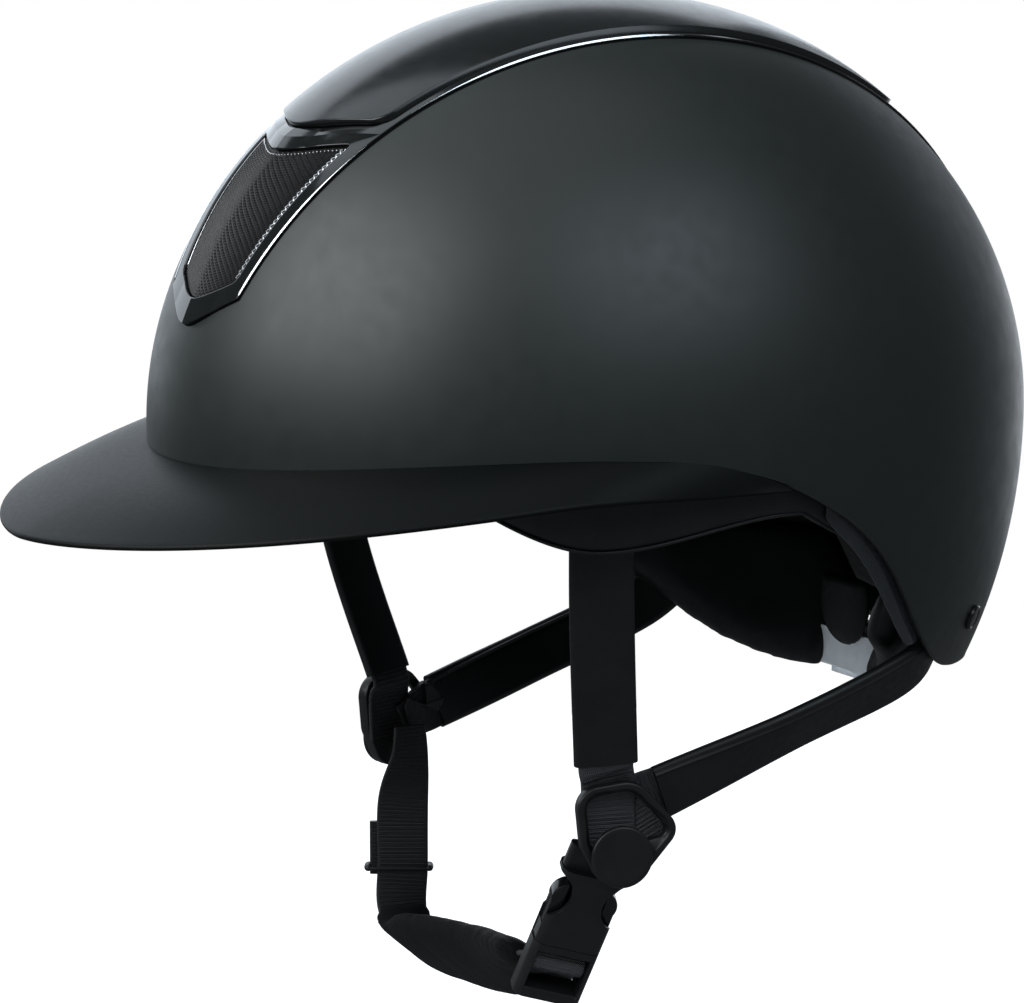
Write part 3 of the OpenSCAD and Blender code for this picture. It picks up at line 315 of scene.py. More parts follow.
# %% Material helpers
class Finish:
    """Builds one node material step by step."""

    def __init__(self, name, color, roughness, **sockets):
        self.material = bpy.data.materials.new(name)
        self.material.use_nodes = True
        self.tree = self.material.node_tree
        self.shader = self.tree.nodes["Principled BSDF"]
        self.shader.inputs["Base Color"].default_value = (*color, 1)
        self.shader.inputs["Roughness"].default_value = roughness
        for key, value in sockets.items():
            self.shader.inputs[key.replace("_", " ")].default_value = value
        self.normal = None

    def node(self, kind, **values):
        made = self.tree.nodes.new(kind)
        for key, value in values.items():
            if key in made.inputs:
                made.inputs[key].default_value = value
            else:
                setattr(made, key, value)
        return made

    def link(self, a, b):
        self.tree.links.new(a, b)

    def place(self, scale=1.0, uv=None):
        """Object coordinates, or the strip map, stretched by scale."""
        source = self.node("ShaderNodeUVMap", uv_map=uv) if uv else self.node("ShaderNodeTexCoord")
        mapping = self.node("ShaderNodeMapping")
        mapping.inputs["Scale"].default_value = scale if np.ndim(scale) else (scale,) * 3
        self.link(source.outputs["UV" if uv else "Object"], mapping.inputs["Vector"])
        return mapping.outputs["Vector"]

    def noise(self, scale, detail):
        made = self.node("ShaderNodeTexNoise", Scale=scale, Detail=detail)
        self.link(self.place(), made.inputs["Vector"])
        return made.outputs["Fac"]

    def cells(self, scale, stretch=1.0, **values):
        """Distance to the nearest of many scattered points: grain, loops or beads."""
        made = self.node("ShaderNodeTexVoronoi", Scale=scale, **values)
        self.link(self.place(stretch), made.inputs["Vector"])
        return made.outputs["Distance"]

    def ramp(self, value, low, high, stops=(0.3, 0.7)):
        """Maps a pattern to the range low to high."""
        made = self.node("ShaderNodeMapRange")
        for key, number in zip(("From Min", "From Max", "To Min", "To Max"), (*stops, low, high)):
            made.inputs[key].default_value = number
        self.link(value, made.inputs["Value"])
        return made.outputs["Result"]

    def tint(self, value, dark, light):
        """Colours between dark and light, by a pattern."""
        made = self.node("ShaderNodeMix", data_type="RGBA")
        self.link(value, made.inputs[0])
        made.inputs[6].default_value, made.inputs[7].default_value = (*dark, 1), (*light, 1)
        self.link(made.outputs[2], self.shader.inputs["Base Color"])
        return self

    def cloud(self, scale, detail, dark, light):
        """Colours between dark and light, in soft patches."""
        return self.tint(self.ramp(self.noise(scale, detail), 0, 1), dark, light)

    def rough(self, value, low, high):
        self.link(self.ramp(value, low, high), self.shader.inputs["Roughness"])
        return self

    def bump(self, value, height, strength):
        """Relief of a pattern, height in millimetres."""
        made = self.node("ShaderNodeBump", Strength=strength, Distance=height * MM)
        self.link(value, made.inputs["Height"])
        if self.normal:
            self.link(self.normal, made.inputs["Normal"])
        self.normal = made.outputs["Normal"]
        self.link(self.normal, self.shader.inputs["Normal"])
        return self


# %% [markdown]
# The shell is a soft satin plastic: dark charcoal with a breath of green, no mirror reflections, and a
# very fine tooth. The centre panel is polished black, with a faint unevenness as moulded gloss has.

# %% Shell and panel finishes
def satin_finish():
    f = Finish("satin_charcoal", (0.008, 0.0115, 0.0105), 0.44, Specular_IOR_Level=0.55)
    return f.cloud(14, 3, (0.0068, 0.0104, 0.0094), (0.0086, 0.0128, 0.0116)) \
        .rough(f.noise(180, 4), 0.41, 0.47).bump(f.noise(2600, 2), 0.012, 0.35).material


def matt_finish():
    """The peak's top is duller than the shell, with a leathery tooth."""
    f = Finish("matt_charcoal", (0.002, 0.003, 0.0028), 0.46, Specular_IOR_Level=0.13)
    return f.cloud(40, 4, (0.0013, 0.002, 0.0019), (0.0017, 0.0026, 0.0024)) \
        .rough(f.noise(700, 2), 0.44, 0.48).bump(f.cells(2200.0), 0.03, 0.3).material


def gloss_finish(name="polished_black", roughness=0.09):
    f = Finish(name, (0.0035, 0.0045, 0.0045), roughness, Specular_IOR_Level=0.55)
    return f.rough(f.noise(240, 3), roughness, roughness + 0.05).bump(f.noise(45, 1), 0.03, 0.15).material


SATIN = satin_finish()
MATT = matt_finish()
GLOSS = gloss_finish()
LID_GLOSS = gloss_finish("polished_lid", 0.17)

# %% [markdown]
# Leather needs grain of about half a millimetre with soft creases. Webbing is woven nylon: fine ribs
# across the strip with threads between them, drawn lighter as a painted sheen. The knit of the comfort
# padding is smaller and fuzzy.

# %% Soft finishes
def scaled(color, share):
    """A darker or lighter colour of the same hue."""
    return tuple(share * c for c in color)


def leather_finish():
    f = Finish("satin_leather", (0.0055, 0.006, 0.0065), 0.45, Specular_IOR_Level=0.4)
    return f.cloud(90, 4, (0.0045, 0.005, 0.0055), (0.007, 0.0078, 0.0084)) \
        .rough(f.noise(420, 4), 0.40, 0.55).bump(f.cells(1500.0), 0.05, 0.35) \
        .bump(f.noise(140, 5), 0.12, 0.25).material


THREAD_PITCH = 0.55


def weave_finish(name, color, shine, painted_sheen=9.0):
    """Threads on the strip map: ribs across the strip, and slanted threads of a fine twill, lightened as a
    painted sheen.
    """
    f = Finish(name, color, shine, Specular_IOR_Level=0.35)
    where = f.place(1.0, uv="strip")
    waves = []
    for direction, density in (("Y", 10), ("DIAGONAL", 5)):
        wave = f.node("ShaderNodeTexWave", bands_direction=direction, Distortion=0.6,
                      Scale=math.pi / density / THREAD_PITCH)
        f.link(where, wave.inputs["Vector"])
        waves.append(wave.outputs["Fac"])
    rib, twill = waves
    f.tint(f.ramp(twill, 0, 1, (0.55, 1.0)), color, scaled(color, painted_sheen))
    return f.bump(rib, 0.16, 0.6).bump(twill, 0.10, 0.5) \
        .rough(f.noise(900, 3), shine - 0.08, shine + 0.1).material


def knit_finish(name="comfort_knit", color=(0.0045, 0.0045, 0.005)):
    f = Finish(name, color, 0.85, Sheen_Weight=0.01, Sheen_Roughness=0.5, Specular_IOR_Level=0.15)
    loops = f.cells(1100.0, (1, 1, 0.7), feature="SMOOTH_F1")
    return f.cloud(60, 4, color, scaled(color, 1.8)).bump(loops, 0.2, 0.6) \
        .bump(f.noise(220, 4), 0.15, 0.3).material


LEATHER = leather_finish()
# Lit and shaded copies of one webbing: the near pieces, which the light falls on, get the lighter copy with the
# stronger painted sheen, and the far ones get the darker copy.
WEBBING = weave_finish("ribbed_webbing", (0.0032, 0.0032, 0.0036), 0.5)
LIT_WEBBING = weave_finish("lit_webbing", (0.005, 0.005, 0.0055), 0.42, 26.0)
KNIT = knit_finish()
PAD_FABRIC = knit_finish("sleeve_fabric", (0.003, 0.0032, 0.0034))

# %% [markdown]
# Hard small parts: moulded buckle plastic with a slightly grained skin, cloudy pale plastic for the
# dial, beaded foam, black wire for the mesh, bright wire for its selvage, rubber and steel.

# %% Hard finishes
def moulded_finish(name="moulded_black", color=(0.0065, 0.0068, 0.0072), low=0.36, high=0.46):
    f = Finish(name, color, low, Specular_IOR_Level=0.45)
    return f.rough(f.noise(700, 3), low, high).bump(f.noise(1900, 2), 0.02, 0.3) \
        .cloud(150, 3, scaled(color, 0.85), scaled(color, 1.2)).material


def plain_finish(name, color, low, high, scale, **sockets):
    """One colour, unevenly rough."""
    f = Finish(name, color, low, **sockets)
    return f.rough(f.noise(scale, 2), low, high).material


def foam_finish():
    f = Finish("beaded_foam", (0.005, 0.005, 0.005), 0.75)
    beads = f.cells(330.0)
    return f.tint(f.ramp(beads, 1, 0, (0, 0.6)), (0.0015, 0.0015, 0.0015), (0.0045, 0.0045, 0.005)) \
        .bump(beads, -0.5, 0.5).material


def cloudy_finish():
    f = Finish("cloudy_plastic", (0.84, 0.88, 0.92), 0.18, Transmission_Weight=0.2, IOR=1.49,
               Subsurface_Weight=0.25)
    f.shader.inputs["Subsurface Radius"].default_value = (0.004, 0.004, 0.004)
    return f.cloud(260, 4, (0.78, 0.83, 0.88), (0.88, 0.92, 0.96)).bump(f.noise(500, 2), 0.05, 0.3).material


MOULDED = moulded_finish()
MOULDED_SMOOTH = moulded_finish("moulded_smooth", (0.005, 0.0052, 0.0056), 0.12, 0.2)
# A gloss black drawn lighter and bluer than the other mouldings: a painted reflection on the arch strips.
STRIP = moulded_finish("strip_black", (0.016, 0.018, 0.021), 0.12, 0.2)
FOAM = foam_finish()
CLOUDY = cloudy_finish()
WIRE = moulded_finish("black_wire", (0.004, 0.0042, 0.0046), 0.34, 0.44)
RUBBER = moulded_finish("keeper_rubber", (0.005, 0.005, 0.005), 0.45, 0.6)
# Bright metal: real for the selvage wires, and a painted highlight where it lines the plate's side edges.
BRIGHT = plain_finish("bright_wire", (0.75, 0.76, 0.78), 0.16, 0.32, 1500, Metallic=1.0)
STEEL = plain_finish("pin_steel", (0.42, 0.42, 0.44), 0.25, 0.4, 800, Metallic=1.0)
# Near-black for the strip round the centre plate: a painted shadow of the gap.
GAP = plain_finish("shadow_gap", (0.001, 0.001, 0.001), 0.85, 0.95, 500, Specular_IOR_Level=0.1)

# %% [markdown]
# The shell's surface is half an ellipsoid above its widest line and a deeper one below it. Its lower
# edge rises over the brow, runs level to the temple and drops behind the ear to the nape. The same
# few numbers drive the CAD model, so everything here lands on it.

# %% Shell surface
SHELL_W, SHELL_L, SHELL_H, SHELL_D, SHELL_T = 108.0, 133.0, 119.5, 150.0, 3.0
BEHIND_EAR = 84.0
BROW_Z, TEMPLE_Z, NAPE_Z, TEMPLE_ANGLE = -5.0, 1.7, -75.0, 68.0
ARCH_ANGLES = [66, 78, 84, 90, 96, 102, 108, 114, 120, 126, 132, 142, 160, 180]
ARCH_SHARES = [0, 0.015, 0.055, 0.12, 0.21, 0.32, 0.48, 0.68, 0.825, 0.92, 0.955, 0.975, 0.995, 1]


def shell_point(angle, latitude, off=0.0):
    """Point of the shell at an angle round from the front and a latitude, off millimetres outside it."""
    a, f, off = np.broadcast_arrays(np.radians(angle), np.radians(latitude), off)
    height = np.where(f >= 0, SHELL_H, SHELL_D) + off
    return np.stack([(SHELL_W + off) * np.cos(f) * np.sin(a), -(SHELL_L + off) * np.cos(f) * np.cos(a),
                     height * np.sin(f)], -1)


def latitude_of(z):
    """Latitude of the shell's surface at a height."""
    z = np.asarray(z, float)
    return np.degrees(np.arcsin(np.clip(np.where(z >= 0, z / SHELL_H, z / SHELL_D), -1, 1)))


def edge_z(angle):
    """Height of the shell's lower edge: a cosine rise to the temple, then a smoothed table to the nape."""
    a = np.abs(np.asarray(angle, float))
    front = mix(BROW_Z, TEMPLE_Z, (1 - np.cos(np.pi * np.minimum(a, TEMPLE_ANGLE) / TEMPLE_ANGLE)) / 2)
    blur = np.linspace(-3.4, 3.4, 9)
    share = np.mean([np.interp(a + b, ARCH_ANGLES, ARCH_SHARES) for b in blur], axis=0)
    return front + (NAPE_Z - TEMPLE_Z) * share


# %% [markdown]
# The centre panel lies along the crown. u is the angle over the crown from front to back, s the share
# across. Each row bends into a chevron that points forward in front and backward at the rear.

# %% Crown surface
FRAME_W, FRAME_END_W, FRAME_FRONT, FRAME_REAR, FRAME_MID = 42.8, 24.0, 15.6, 162.0, 96.0
CHEVRON, TIP_ROUND = 4.8, 0.22
DEGREE_MM = math.pi / 180 * (SHELL_L + SHELL_H) / 2
LEAD_TURNS, LEAD_SPAN = 50.0, 80.0
CROWN_SINK = 1.5
SEAT = 0.4 - CROWN_SINK
RIDGE, RIDGE_HALF = 1.0, 12.0


def half_width(u):
    """Half width of the panel at crown angle u: widest in the middle, a parabola to both ends."""
    u = np.asarray(u, float)
    span = np.where(u < FRAME_MID, FRAME_MID - FRAME_FRONT - CHEVRON, FRAME_REAR - CHEVRON - FRAME_MID)
    return FRAME_W - (FRAME_W - FRAME_END_W) * np.minimum(1.2, np.abs(u - FRAME_MID) / span) ** 2


def chevron_share(s):
    """A rounded V: 0 in the middle and 1 at both sides."""
    v = np.sqrt(s * s + TIP_ROUND ** 2) - TIP_ROUND
    return v / (math.sqrt(1 + TIP_ROUND ** 2) - TIP_ROUND)


def lead(u):
    """How far row u bends ahead at the sides, in degrees: forward in front, backward at the rear."""
    return mix(1.0, -1.0, ease((u - LEAD_TURNS) / LEAD_SPAN)) * CHEVRON


def crown_up(points):
    """Outward direction of the crown at its points."""
    return unit(points / [SHELL_W ** 2, SHELL_L ** 2, SHELL_H ** 2])


def panel_point(u, s, off, ridge=RIDGE):
    """Point of row u at share s across the panel, off millimetres outside the shell.

    A roof-like fold runs along the middle: its height falls evenly from the ridge to both sides.
    """
    u, s, off = np.broadcast_arrays(np.asarray(u, float), np.asarray(s, float), off)
    x = s * half_width(u)
    off = off + ridge * np.maximum(0, 1 - np.abs(x) / RIDGE_HALF)
    bent = np.radians(u + lead(u) * chevron_share(s))
    k = np.sqrt(1 - (x / (SHELL_W + off)) ** 2)
    return np.stack([x, -(SHELL_L + off) * np.cos(bent) * k, (SHELL_H + off) * np.sin(bent) * k], -1)


def outside_panel(points):
    """How far points of the shell lie outside the panel's outline, in millimetres, negative inside."""
    u = np.degrees(np.arctan2(points[..., 2] / SHELL_H, -points[..., 1] / SHELL_L))
    x = np.abs(points[..., 0])
    row = u - lead(u) * chevron_share(np.minimum(x / half_width(u - lead(u)), 1.0))
    return np.maximum(x - half_width(row), DEGREE_MM * np.maximum(FRAME_FRONT - row, row - FRAME_REAR))


# %% [markdown]
# Outer shell: one closed skin that runs up the inside, round the lower edge and up the outside. Under
# the centre panel's rails the outside sinks, so that the panel lies flush. Six slots let air through.

# %% Outer shell
SHELL_COLS, SHELL_ROWS, INNER_ROWS = 360, 100, 36
POLE = 89.6  # just short of the pole, so that its ring stays open
EDGE_ROUND, SINK_INSET, SINK_SLOPE = 1.2, 1.3, 3.0
VENTS, VENT_LEN, VENT_Z = ((-20.4, 6.0), (0.0, 9.0), (20.4, 6.0)), 34.0, 62.0
VENT_Y, VENT_HALF = 100.0, 60.0


def shell_grid():
    """Rows from the inner pole down the inside, round the edge and up the outside to the outer pole."""
    angle = np.linspace(-180, 180, SHELL_COLS, endpoint=False)
    roundness = EDGE_ROUND * ease((np.abs(angle) - BEHIND_EAR) / 14)
    foot = edge_z(angle) + roundness
    low = latitude_of(foot)
    inside = [shell_point(angle, mix(low, POLE, t), -SHELL_T) for t in np.linspace(1, 0, INNER_ROWS)]
    edge = []
    for turn in np.linspace(np.pi, 0, 9)[1:-1]:
        p = shell_point(angle, low, -SHELL_T / 2 * (1 - math.cos(turn)))
        p[:, 2] -= roundness * math.sin(turn)
        edge.append(p)
    outside = []
    for t in np.linspace(0, 1, SHELL_ROWS):
        p = shell_point(angle, mix(low, POLE, t))
        sink = np.where(p[:, 2] > 0, CROWN_SINK * ease((-outside_panel(p) - SINK_INSET) / SINK_SLOPE), 0)
        outside.append(shell_point(angle, mix(low, POLE, t), -sink))
    return np.stack(inside + edge + outside)


def vent_cutter():
    """Six upright blocks through the front and the rear; the outer ones stop under the plate's rails."""
    corners = np.array([[i, j, k] for i in (-1, 1) for j in (-1, 1) for k in (-1, 1)], float)
    sides = [[0, 1, 3, 2], [4, 6, 7, 5], [0, 4, 5, 1], [2, 3, 7, 6], [0, 2, 6, 4], [1, 5, 7, 3]]
    blocks = [(corners * [width / 2, VENT_HALF, VENT_LEN / 2] + [x, y, VENT_Z], sides)
              for x, width in VENTS for y in (-VENT_Y, VENT_Y)]
    return placed("vent_cutter", solid_mesh("vent_cutter", blocks))


def cut_vents(obj):
    """Takes the vent slots out of a piece."""
    cutter = vent_cutter()
    cut = obj.modifiers.new("vents", "BOOLEAN")
    cut.object, cut.operation, cut.solver = cutter, "DIFFERENCE", "EXACT"
    apply_modifiers(obj)
    bpy.data.objects.remove(cutter)


piece("shell_skin", [tube(shell_grid())], SATIN, "helmet", "shell_satin", ["outer_shell"], modify=cut_vents)

# %% [markdown]
# Peak: a brim whose inner edge meets the shell in a crisp crease. Its rim is a wide arc that comes in
# beside the ears until it meets the shell's edge. One closed profile is swept round the brow.

# %% Peak
PEAK_END, PEAK_SWING, PEAK_REACH, PEAK_SIDE, PEAK_DROP = 90.0, 18.0, 45.5, 1.0, 17.0
PEAK_BULGE, PEAK_SIDE_Z, PEAK_SAG = 1.4, -5.3, 1.1
PEAK_CORNER_X, PEAK_CORNER_Y = 1.2, 0.6
PEAK_T, RIM_T, ROOT_H, RIM_FOLD, RIM_LAP = 3.0, 1.6, 5.0, 62.0, 0.8
PEAK_THIN, PEAK_THINNING = 0.35, 40.0


def rim_point(angle):
    """Rim of the peak: a squarish arc in plan that sags towards the front."""
    turned = np.radians(angle + PEAK_SWING * np.sin(np.radians(2 * angle)))
    s, c = np.sin(turned), np.maximum(0, np.cos(turned))
    folded = ease((np.abs(angle) - RIM_FOLD) / (PEAK_END - RIM_FOLD))
    side = mix(PEAK_SIDE_Z, edge_z(PEAK_END) - RIM_LAP, folded)
    return np.stack([(SHELL_W + PEAK_SIDE) * squared(s, PEAK_CORNER_X),
                     -(SHELL_L + PEAK_REACH) * c ** PEAK_CORNER_Y,
                     mix(side, BROW_Z - PEAK_DROP, c ** PEAK_SAG)], -1)


def peak_profiles():
    """Closed profile at every angle: root, top, rounded rim, underside and back to the root."""
    angle = np.linspace(-PEAK_END, PEAK_END, 301)
    low = latitude_of(edge_z(angle))
    root, crease, rim = shell_point(angle, low, -SHELL_T), shell_point(angle, low), rim_point(angle)
    reach = np.linalg.norm(rim - crease, axis=-1)
    thick = mix(PEAK_THIN, 1.0, ease((PEAK_END + 4 - np.abs(angle)) / PEAK_THINNING))
    out = unit(rim - crease)
    shares = np.linspace(0, 1, 30)[1:]
    bulge = (PEAK_BULGE * reach / PEAK_REACH)[:, None]
    top = [mix(crease, rim, r) + UP * bulge * math.sin(math.pi * r) for r in shares]
    rows = [root, crease] + top
    half = (RIM_T * thick / 2)[:, None]
    for turn in np.linspace(0, np.pi, 9)[1:-1]:
        rows.append(rim - UP * half * (1 - math.cos(turn)) + out * 0.9 * half * math.sin(turn))
    for r, p in zip(shares[::-2], top[::-2]):
        rows.append(p - UP * (mix(PEAK_T, RIM_T, r) * thick)[:, None])
    rows += [p - UP * (ROOT_H * thick)[:, None] for p in (crease, root)]
    return np.stack(rows, 1)


piece("peak_brim", [tube(peak_profiles())], MATT, "helmet", "shell_satin", ["peak"], smooth=50)

# %% [markdown]
# Centre frame: three windows in one gloss plate. Each window is a ring of faces between the plate's
# outline and the window's rounded outline. Solidify gives the plate its wall, and a bevel catches light.

# %% Centre frame
RAIL, COVER_RAIL, FRAME_T, COVER_T = 5.5, 2.7, 1.4, 2.8
MESH_FRONT, COVER_ROWS, MESH_REAR = (19.2, 41.4), (45.3, 134.0), (138.0, 158.4)
ROW_PLAY, SIDE_PLAY, MESH_CORNER, LID_CORNER = 0.2, 0.3, 1.6, 4.0
END_STEPS = 64
RAIL_LIFT, RAIL_DROP, END_DROP = 0.45, 0.4, 0.5


def window_loops(rows, window, rail, radius, side_steps):
    """Outline of a plate's part and of its window, as (share across, row), point by point."""
    across = np.linspace(-1, 1, END_STEPS + 1)
    along = np.linspace(0, 1, side_steps + 1)
    share = np.concatenate([across[:-1], np.ones(side_steps), across[:0:-1], -np.ones(side_steps)])
    length = np.concatenate([np.zeros(END_STEPS), along[:-1], np.ones(END_STEPS), along[:0:-1]])
    outer = np.stack([share, mix(rows[0], rows[1], length)], -1)
    u = mix(window[0], window[1], length)
    half = half_width(u) - rail
    middle, half_rows = (window[0] + window[1]) / 2, (window[1] - window[0]) / 2 * DEGREE_MM
    x, y = share * half, (u - middle) * DEGREE_MM
    past_x, past_y = np.abs(x) - (half - radius), np.abs(y) - (half_rows - radius)
    corner = (past_x > 0) & (past_y > 0)
    reach = np.where(corner, radius / np.maximum(1e-9, np.hypot(past_x, past_y)), 1)
    x = np.where(corner, np.sign(x) * (half - radius + past_x * reach), x)
    y = np.where(corner, np.sign(y) * (half_rows - radius + past_y * reach), y)
    u = middle + y / DEGREE_MM
    return outer, np.stack([x / half_width(u), u], -1)


def frame_part(rows, window, rail, radius, side_steps, off):
    """Ring of faces between a part's outline and its window; it leans down towards the window."""
    outer, inner = window_loops(rows, window, rail, radius, side_steps)
    share = np.linspace(0, 1, 5)[:, None]
    grid = mix(outer, inner, share[..., None])
    beside = ease((np.abs(outer[:, 0]) - 0.8) / 0.2)
    lean = RAIL_LIFT - share * mix(END_DROP, RAIL_DROP * rail / RAIL, beside)
    points = panel_point(grid[..., 1], grid[..., 0], off + lean)
    return points.reshape(-1, 3), grid_faces(*grid.shape[:2], wrap_cols=True)


def frame_parts(off):
    """The plate's three parts, from the front tip to the rear tip."""
    seams = [FRAME_FRONT, (MESH_FRONT[1] + COVER_ROWS[0]) / 2, (COVER_ROWS[1] + MESH_REAR[0]) / 2, FRAME_REAR]
    lid_hole = COVER_ROWS[0] - ROW_PLAY, COVER_ROWS[1] + ROW_PLAY
    windows = [(MESH_FRONT, RAIL, MESH_CORNER, 30), (lid_hole, COVER_RAIL, LID_CORNER, 90),
               (MESH_REAR, RAIL, MESH_CORNER, 30)]
    return [frame_part(seams[i:i + 2], *windows[i], off) for i in range(3)]


def thick_plate(thickness, bevel):
    """Gives an open surface its wall, downwards, and rounds its edges."""
    def modify(obj):
        wall = obj.modifiers.new("wall", "SOLIDIFY")
        wall.thickness, wall.offset = thickness * MM, -1
        round_edges(obj, bevel, 50)
    return modify


def outward(points, faces):
    """Turns an open crown surface so that its faces look up."""
    a, b, c = (points[np.array(faces[len(faces) // 2])[k]] for k in (0, 1, 2))
    if np.dot(np.cross(b - a, c - a), (a + b + c)) < 0:
        faces = [face[::-1] for face in faces]
    return points, faces


piece("centre_plate", [outward(*joined(frame_parts(SEAT + FRAME_T)))], GLOSS, "helmet", "panel_gloss",
      ["centre_frame"], smooth=9, merge=0.01, modify=thick_plate(FRAME_T, 0.35))


def outline_strip():
    """Thin near-black strip round the plate: a painted shadow of the gap between the plate and the shell."""
    ends, sides = 96, 260
    share, row = np.linspace(-1, 1, ends + 1)[:-1], np.linspace(FRAME_FRONT, FRAME_REAR, sides + 1)
    shares = np.concatenate([share, np.ones(sides), -share, -np.ones(sides)])
    rows = np.concatenate([np.full(ends, FRAME_FRONT), row[:-1], np.full(ends, FRAME_REAR), row[:0:-1]])
    line = panel_point(rows, shares, 0.0, ridge=0)
    up = crown_up(line)
    ahead = unit(np.roll(line, -1, 0) - np.roll(line, 1, 0))
    out = np.cross(ahead, up)
    section = [(-0.5, -0.4), (0.45, -0.4), (0.45, 0.06), (-0.5, 0.06)]
    return ring(swept(line, out, up, section))


piece("painted_gap_shadow", [outline_strip()], GAP, "helmet", "panel_gloss")

# %% [markdown]
# The plate's side edges carry a painted highlight in two narrow strips of bright metal. They lean outwards,
# each towards its own softbox, and taper to nothing, so that the bright line comes and goes along the edge.

# %% Painted edge highlights
HIGHLIGHT_STRIPS = ((16.0, 41.0, 0.02, 0.6, 27.0), (48.0, 93.0, 0.4, 0.15, 40.0))
HIGHLIGHT_W = 0.42


def highlight_strip(side, first, last, fade_in, fade_out, tilt):
    """Painted highlight: a thin bright bar along one side of the plate, its top sloping by tilt, tapered at
    both ends.
    """
    u = np.linspace(first, last, 120)
    share = (u - first) / (last - first)
    wide = HIGHLIGHT_W * np.maximum(0.05, ease(share / fade_in) * ease((1 - share) / fade_out))[:, None]
    line = panel_point(u, side, SEAT + FRAME_T + RAIL_LIFT)
    up = crown_up(line)
    out = np.cross(unit(np.gradient(line, axis=0)), up)
    out = out * np.sign(out[:, :1] * side)
    drop = math.tan(math.radians(tilt)) * wide
    section = [(-0.75 * wide, 0.5 * drop + 0.04), (0.25 * wide, 0.04 - 0.5 * drop), (0.25 * wide, -0.4),
               (-0.75 * wide, -0.2)]
    return tube(swept(line, out, up, section))


piece("painted_edge_highlights", [highlight_strip(side, *facet) for side in (1, -1) for facet in HIGHLIGHT_STRIPS], BRIGHT, "helmet",
      "panel_gloss", smooth=20)

# %% [markdown]
# Top cover: a polished lid in the middle window. Its corners are rounded in plan, its edge rolls over,
# and a step at its front shows the dark gap that the photograph has there.

# %% Top cover
COVER_CORNER, COVER_ROLL, COVER_DOME = 5.0, 0.7, 0.6


def near_ends(count, pull=0.82):
    """Numbers from -1 to 1, closer together near both ends, with 0 in the middle."""
    t = np.linspace(-1, 1, count)
    return pull * np.sin(t * np.pi / 2) + (1 - pull) * t


def lid_grid(rows, inset, radius, across, along):
    """Rows and shares of a lid with rounded corners, and each point's way to the nearest edge."""
    half_rows = (rows[1] - rows[0]) / 2 * DEGREE_MM
    y = near_ends(along)[:, None] * half_rows
    u = (rows[0] + rows[1]) / 2 + y / DEGREE_MM
    half = half_width(u) - inset
    past = np.clip((np.abs(y) - (half_rows - radius)) / radius, 0, 1)
    reach = half - radius + radius * np.sqrt(1 - past ** 2)
    x = near_ends(across)[None, :] * reach
    edge = np.minimum(reach - np.abs(x), half_rows - np.abs(y))
    return np.broadcast_to(u, x.shape), x / half_width(u), edge


def lid(rows, inset, radius, thickness, roll, across, along):
    """Closed lid: the top rolls down to the seat along a quarter circle at its edge."""
    u, s, edge = lid_grid(rows, inset, radius, across, along)
    rise = rounded(edge / roll, 0)
    top = panel_point(u, s, SEAT + thickness * mix(0.15, 1, rise) + COVER_DOME * (1 - s ** 2) ** 2, ridge=0)
    return sheet(top, panel_point(u, s, SEAT, ridge=0))


cover = lid(COVER_ROWS, COVER_RAIL + SIDE_PLAY, COVER_CORNER, COVER_T, COVER_ROLL, 61, 161)
piece("cover_lid", [cover], LID_GLOSS, "helmet", "panel_gloss", ["top_cover"], smooth=30)

# %% [markdown]
# Mesh: woven wire. Every wire passes over and under its neighbours in turn, so each is a zigzag tube
# of four sides with one ring at each crossing. Bright wire trims its borders: a chain of two waved
# wires on the wearer's left, a straight wire on the right, and a row of beads next to the top cover.

# %% Mesh panels
MESH_PITCH, WIRE_R, MESH_LIFT, MESH_LAP, WEAVE = 0.95, 0.25, 0.15, 0.4, 0.17
CHAIN_PITCH, CHAIN_STEP, CHAIN_WAVE, CHAIN_R, CHAIN_LIFT = 3.3, 0.3, 0.62, 0.17, 0.75
CHAIN_IN, CHAIN_CLEAR, BORDER_IN, BORDER_LIFT = 1.5, 1.5, 0.7, 0.6
BEAD_PITCH, BEAD_R, BEAD_LIFT, BEAD_ROW = 1.25, 0.28, 0.55, 0.75


def wires(u, s, lift, across):
    """Tubes with a ring at each crossing: rows of points, moved in and out by lift."""
    path = panel_point(u, s, SEAT + MESH_LIFT + lift)
    up = crown_up(path)
    ahead = unit(np.gradient(path, axis=across))
    side = np.cross(ahead, up)
    return swept(path, side, up, [(WIRE_R, 0), (0, WIRE_R), (-WIRE_R, 0), (0, -WIRE_R)])


def wire_mesh(rows):
    """Both sets of wires of a window."""
    middle = (rows[0] + rows[1]) / 2
    warp = int(2 * (half_width(middle) - RAIL) / MESH_PITCH)
    weft = int((rows[1] - rows[0]) * DEGREE_MM / MESH_PITCH)
    u = np.linspace(rows[0] + ROW_PLAY, rows[1] - ROW_PLAY, weft)[:, None]
    s = np.linspace(-1, 1, warp)[None, :] * (1 - (RAIL - MESH_LAP) / half_width(u))
    weave = WEAVE * (1 - 2 * ((np.arange(weft)[:, None] + np.arange(warp)[None, :]) % 2))
    down, across = wires(u, s, weave, 0).swapaxes(0, 1), wires(u, s, -weave, 1)
    return [tube(wire) for grid in (down, across) for wire in grid]


def bright_wire(u, share, lift):
    """Round wire of six sides through points of the panel."""
    path = panel_point(u, share, SEAT + lift)
    up = crown_up(path)
    across = np.cross(unit(np.gradient(path, axis=0)), up)
    return cord(path, CHAIN_R, 6, across, up)


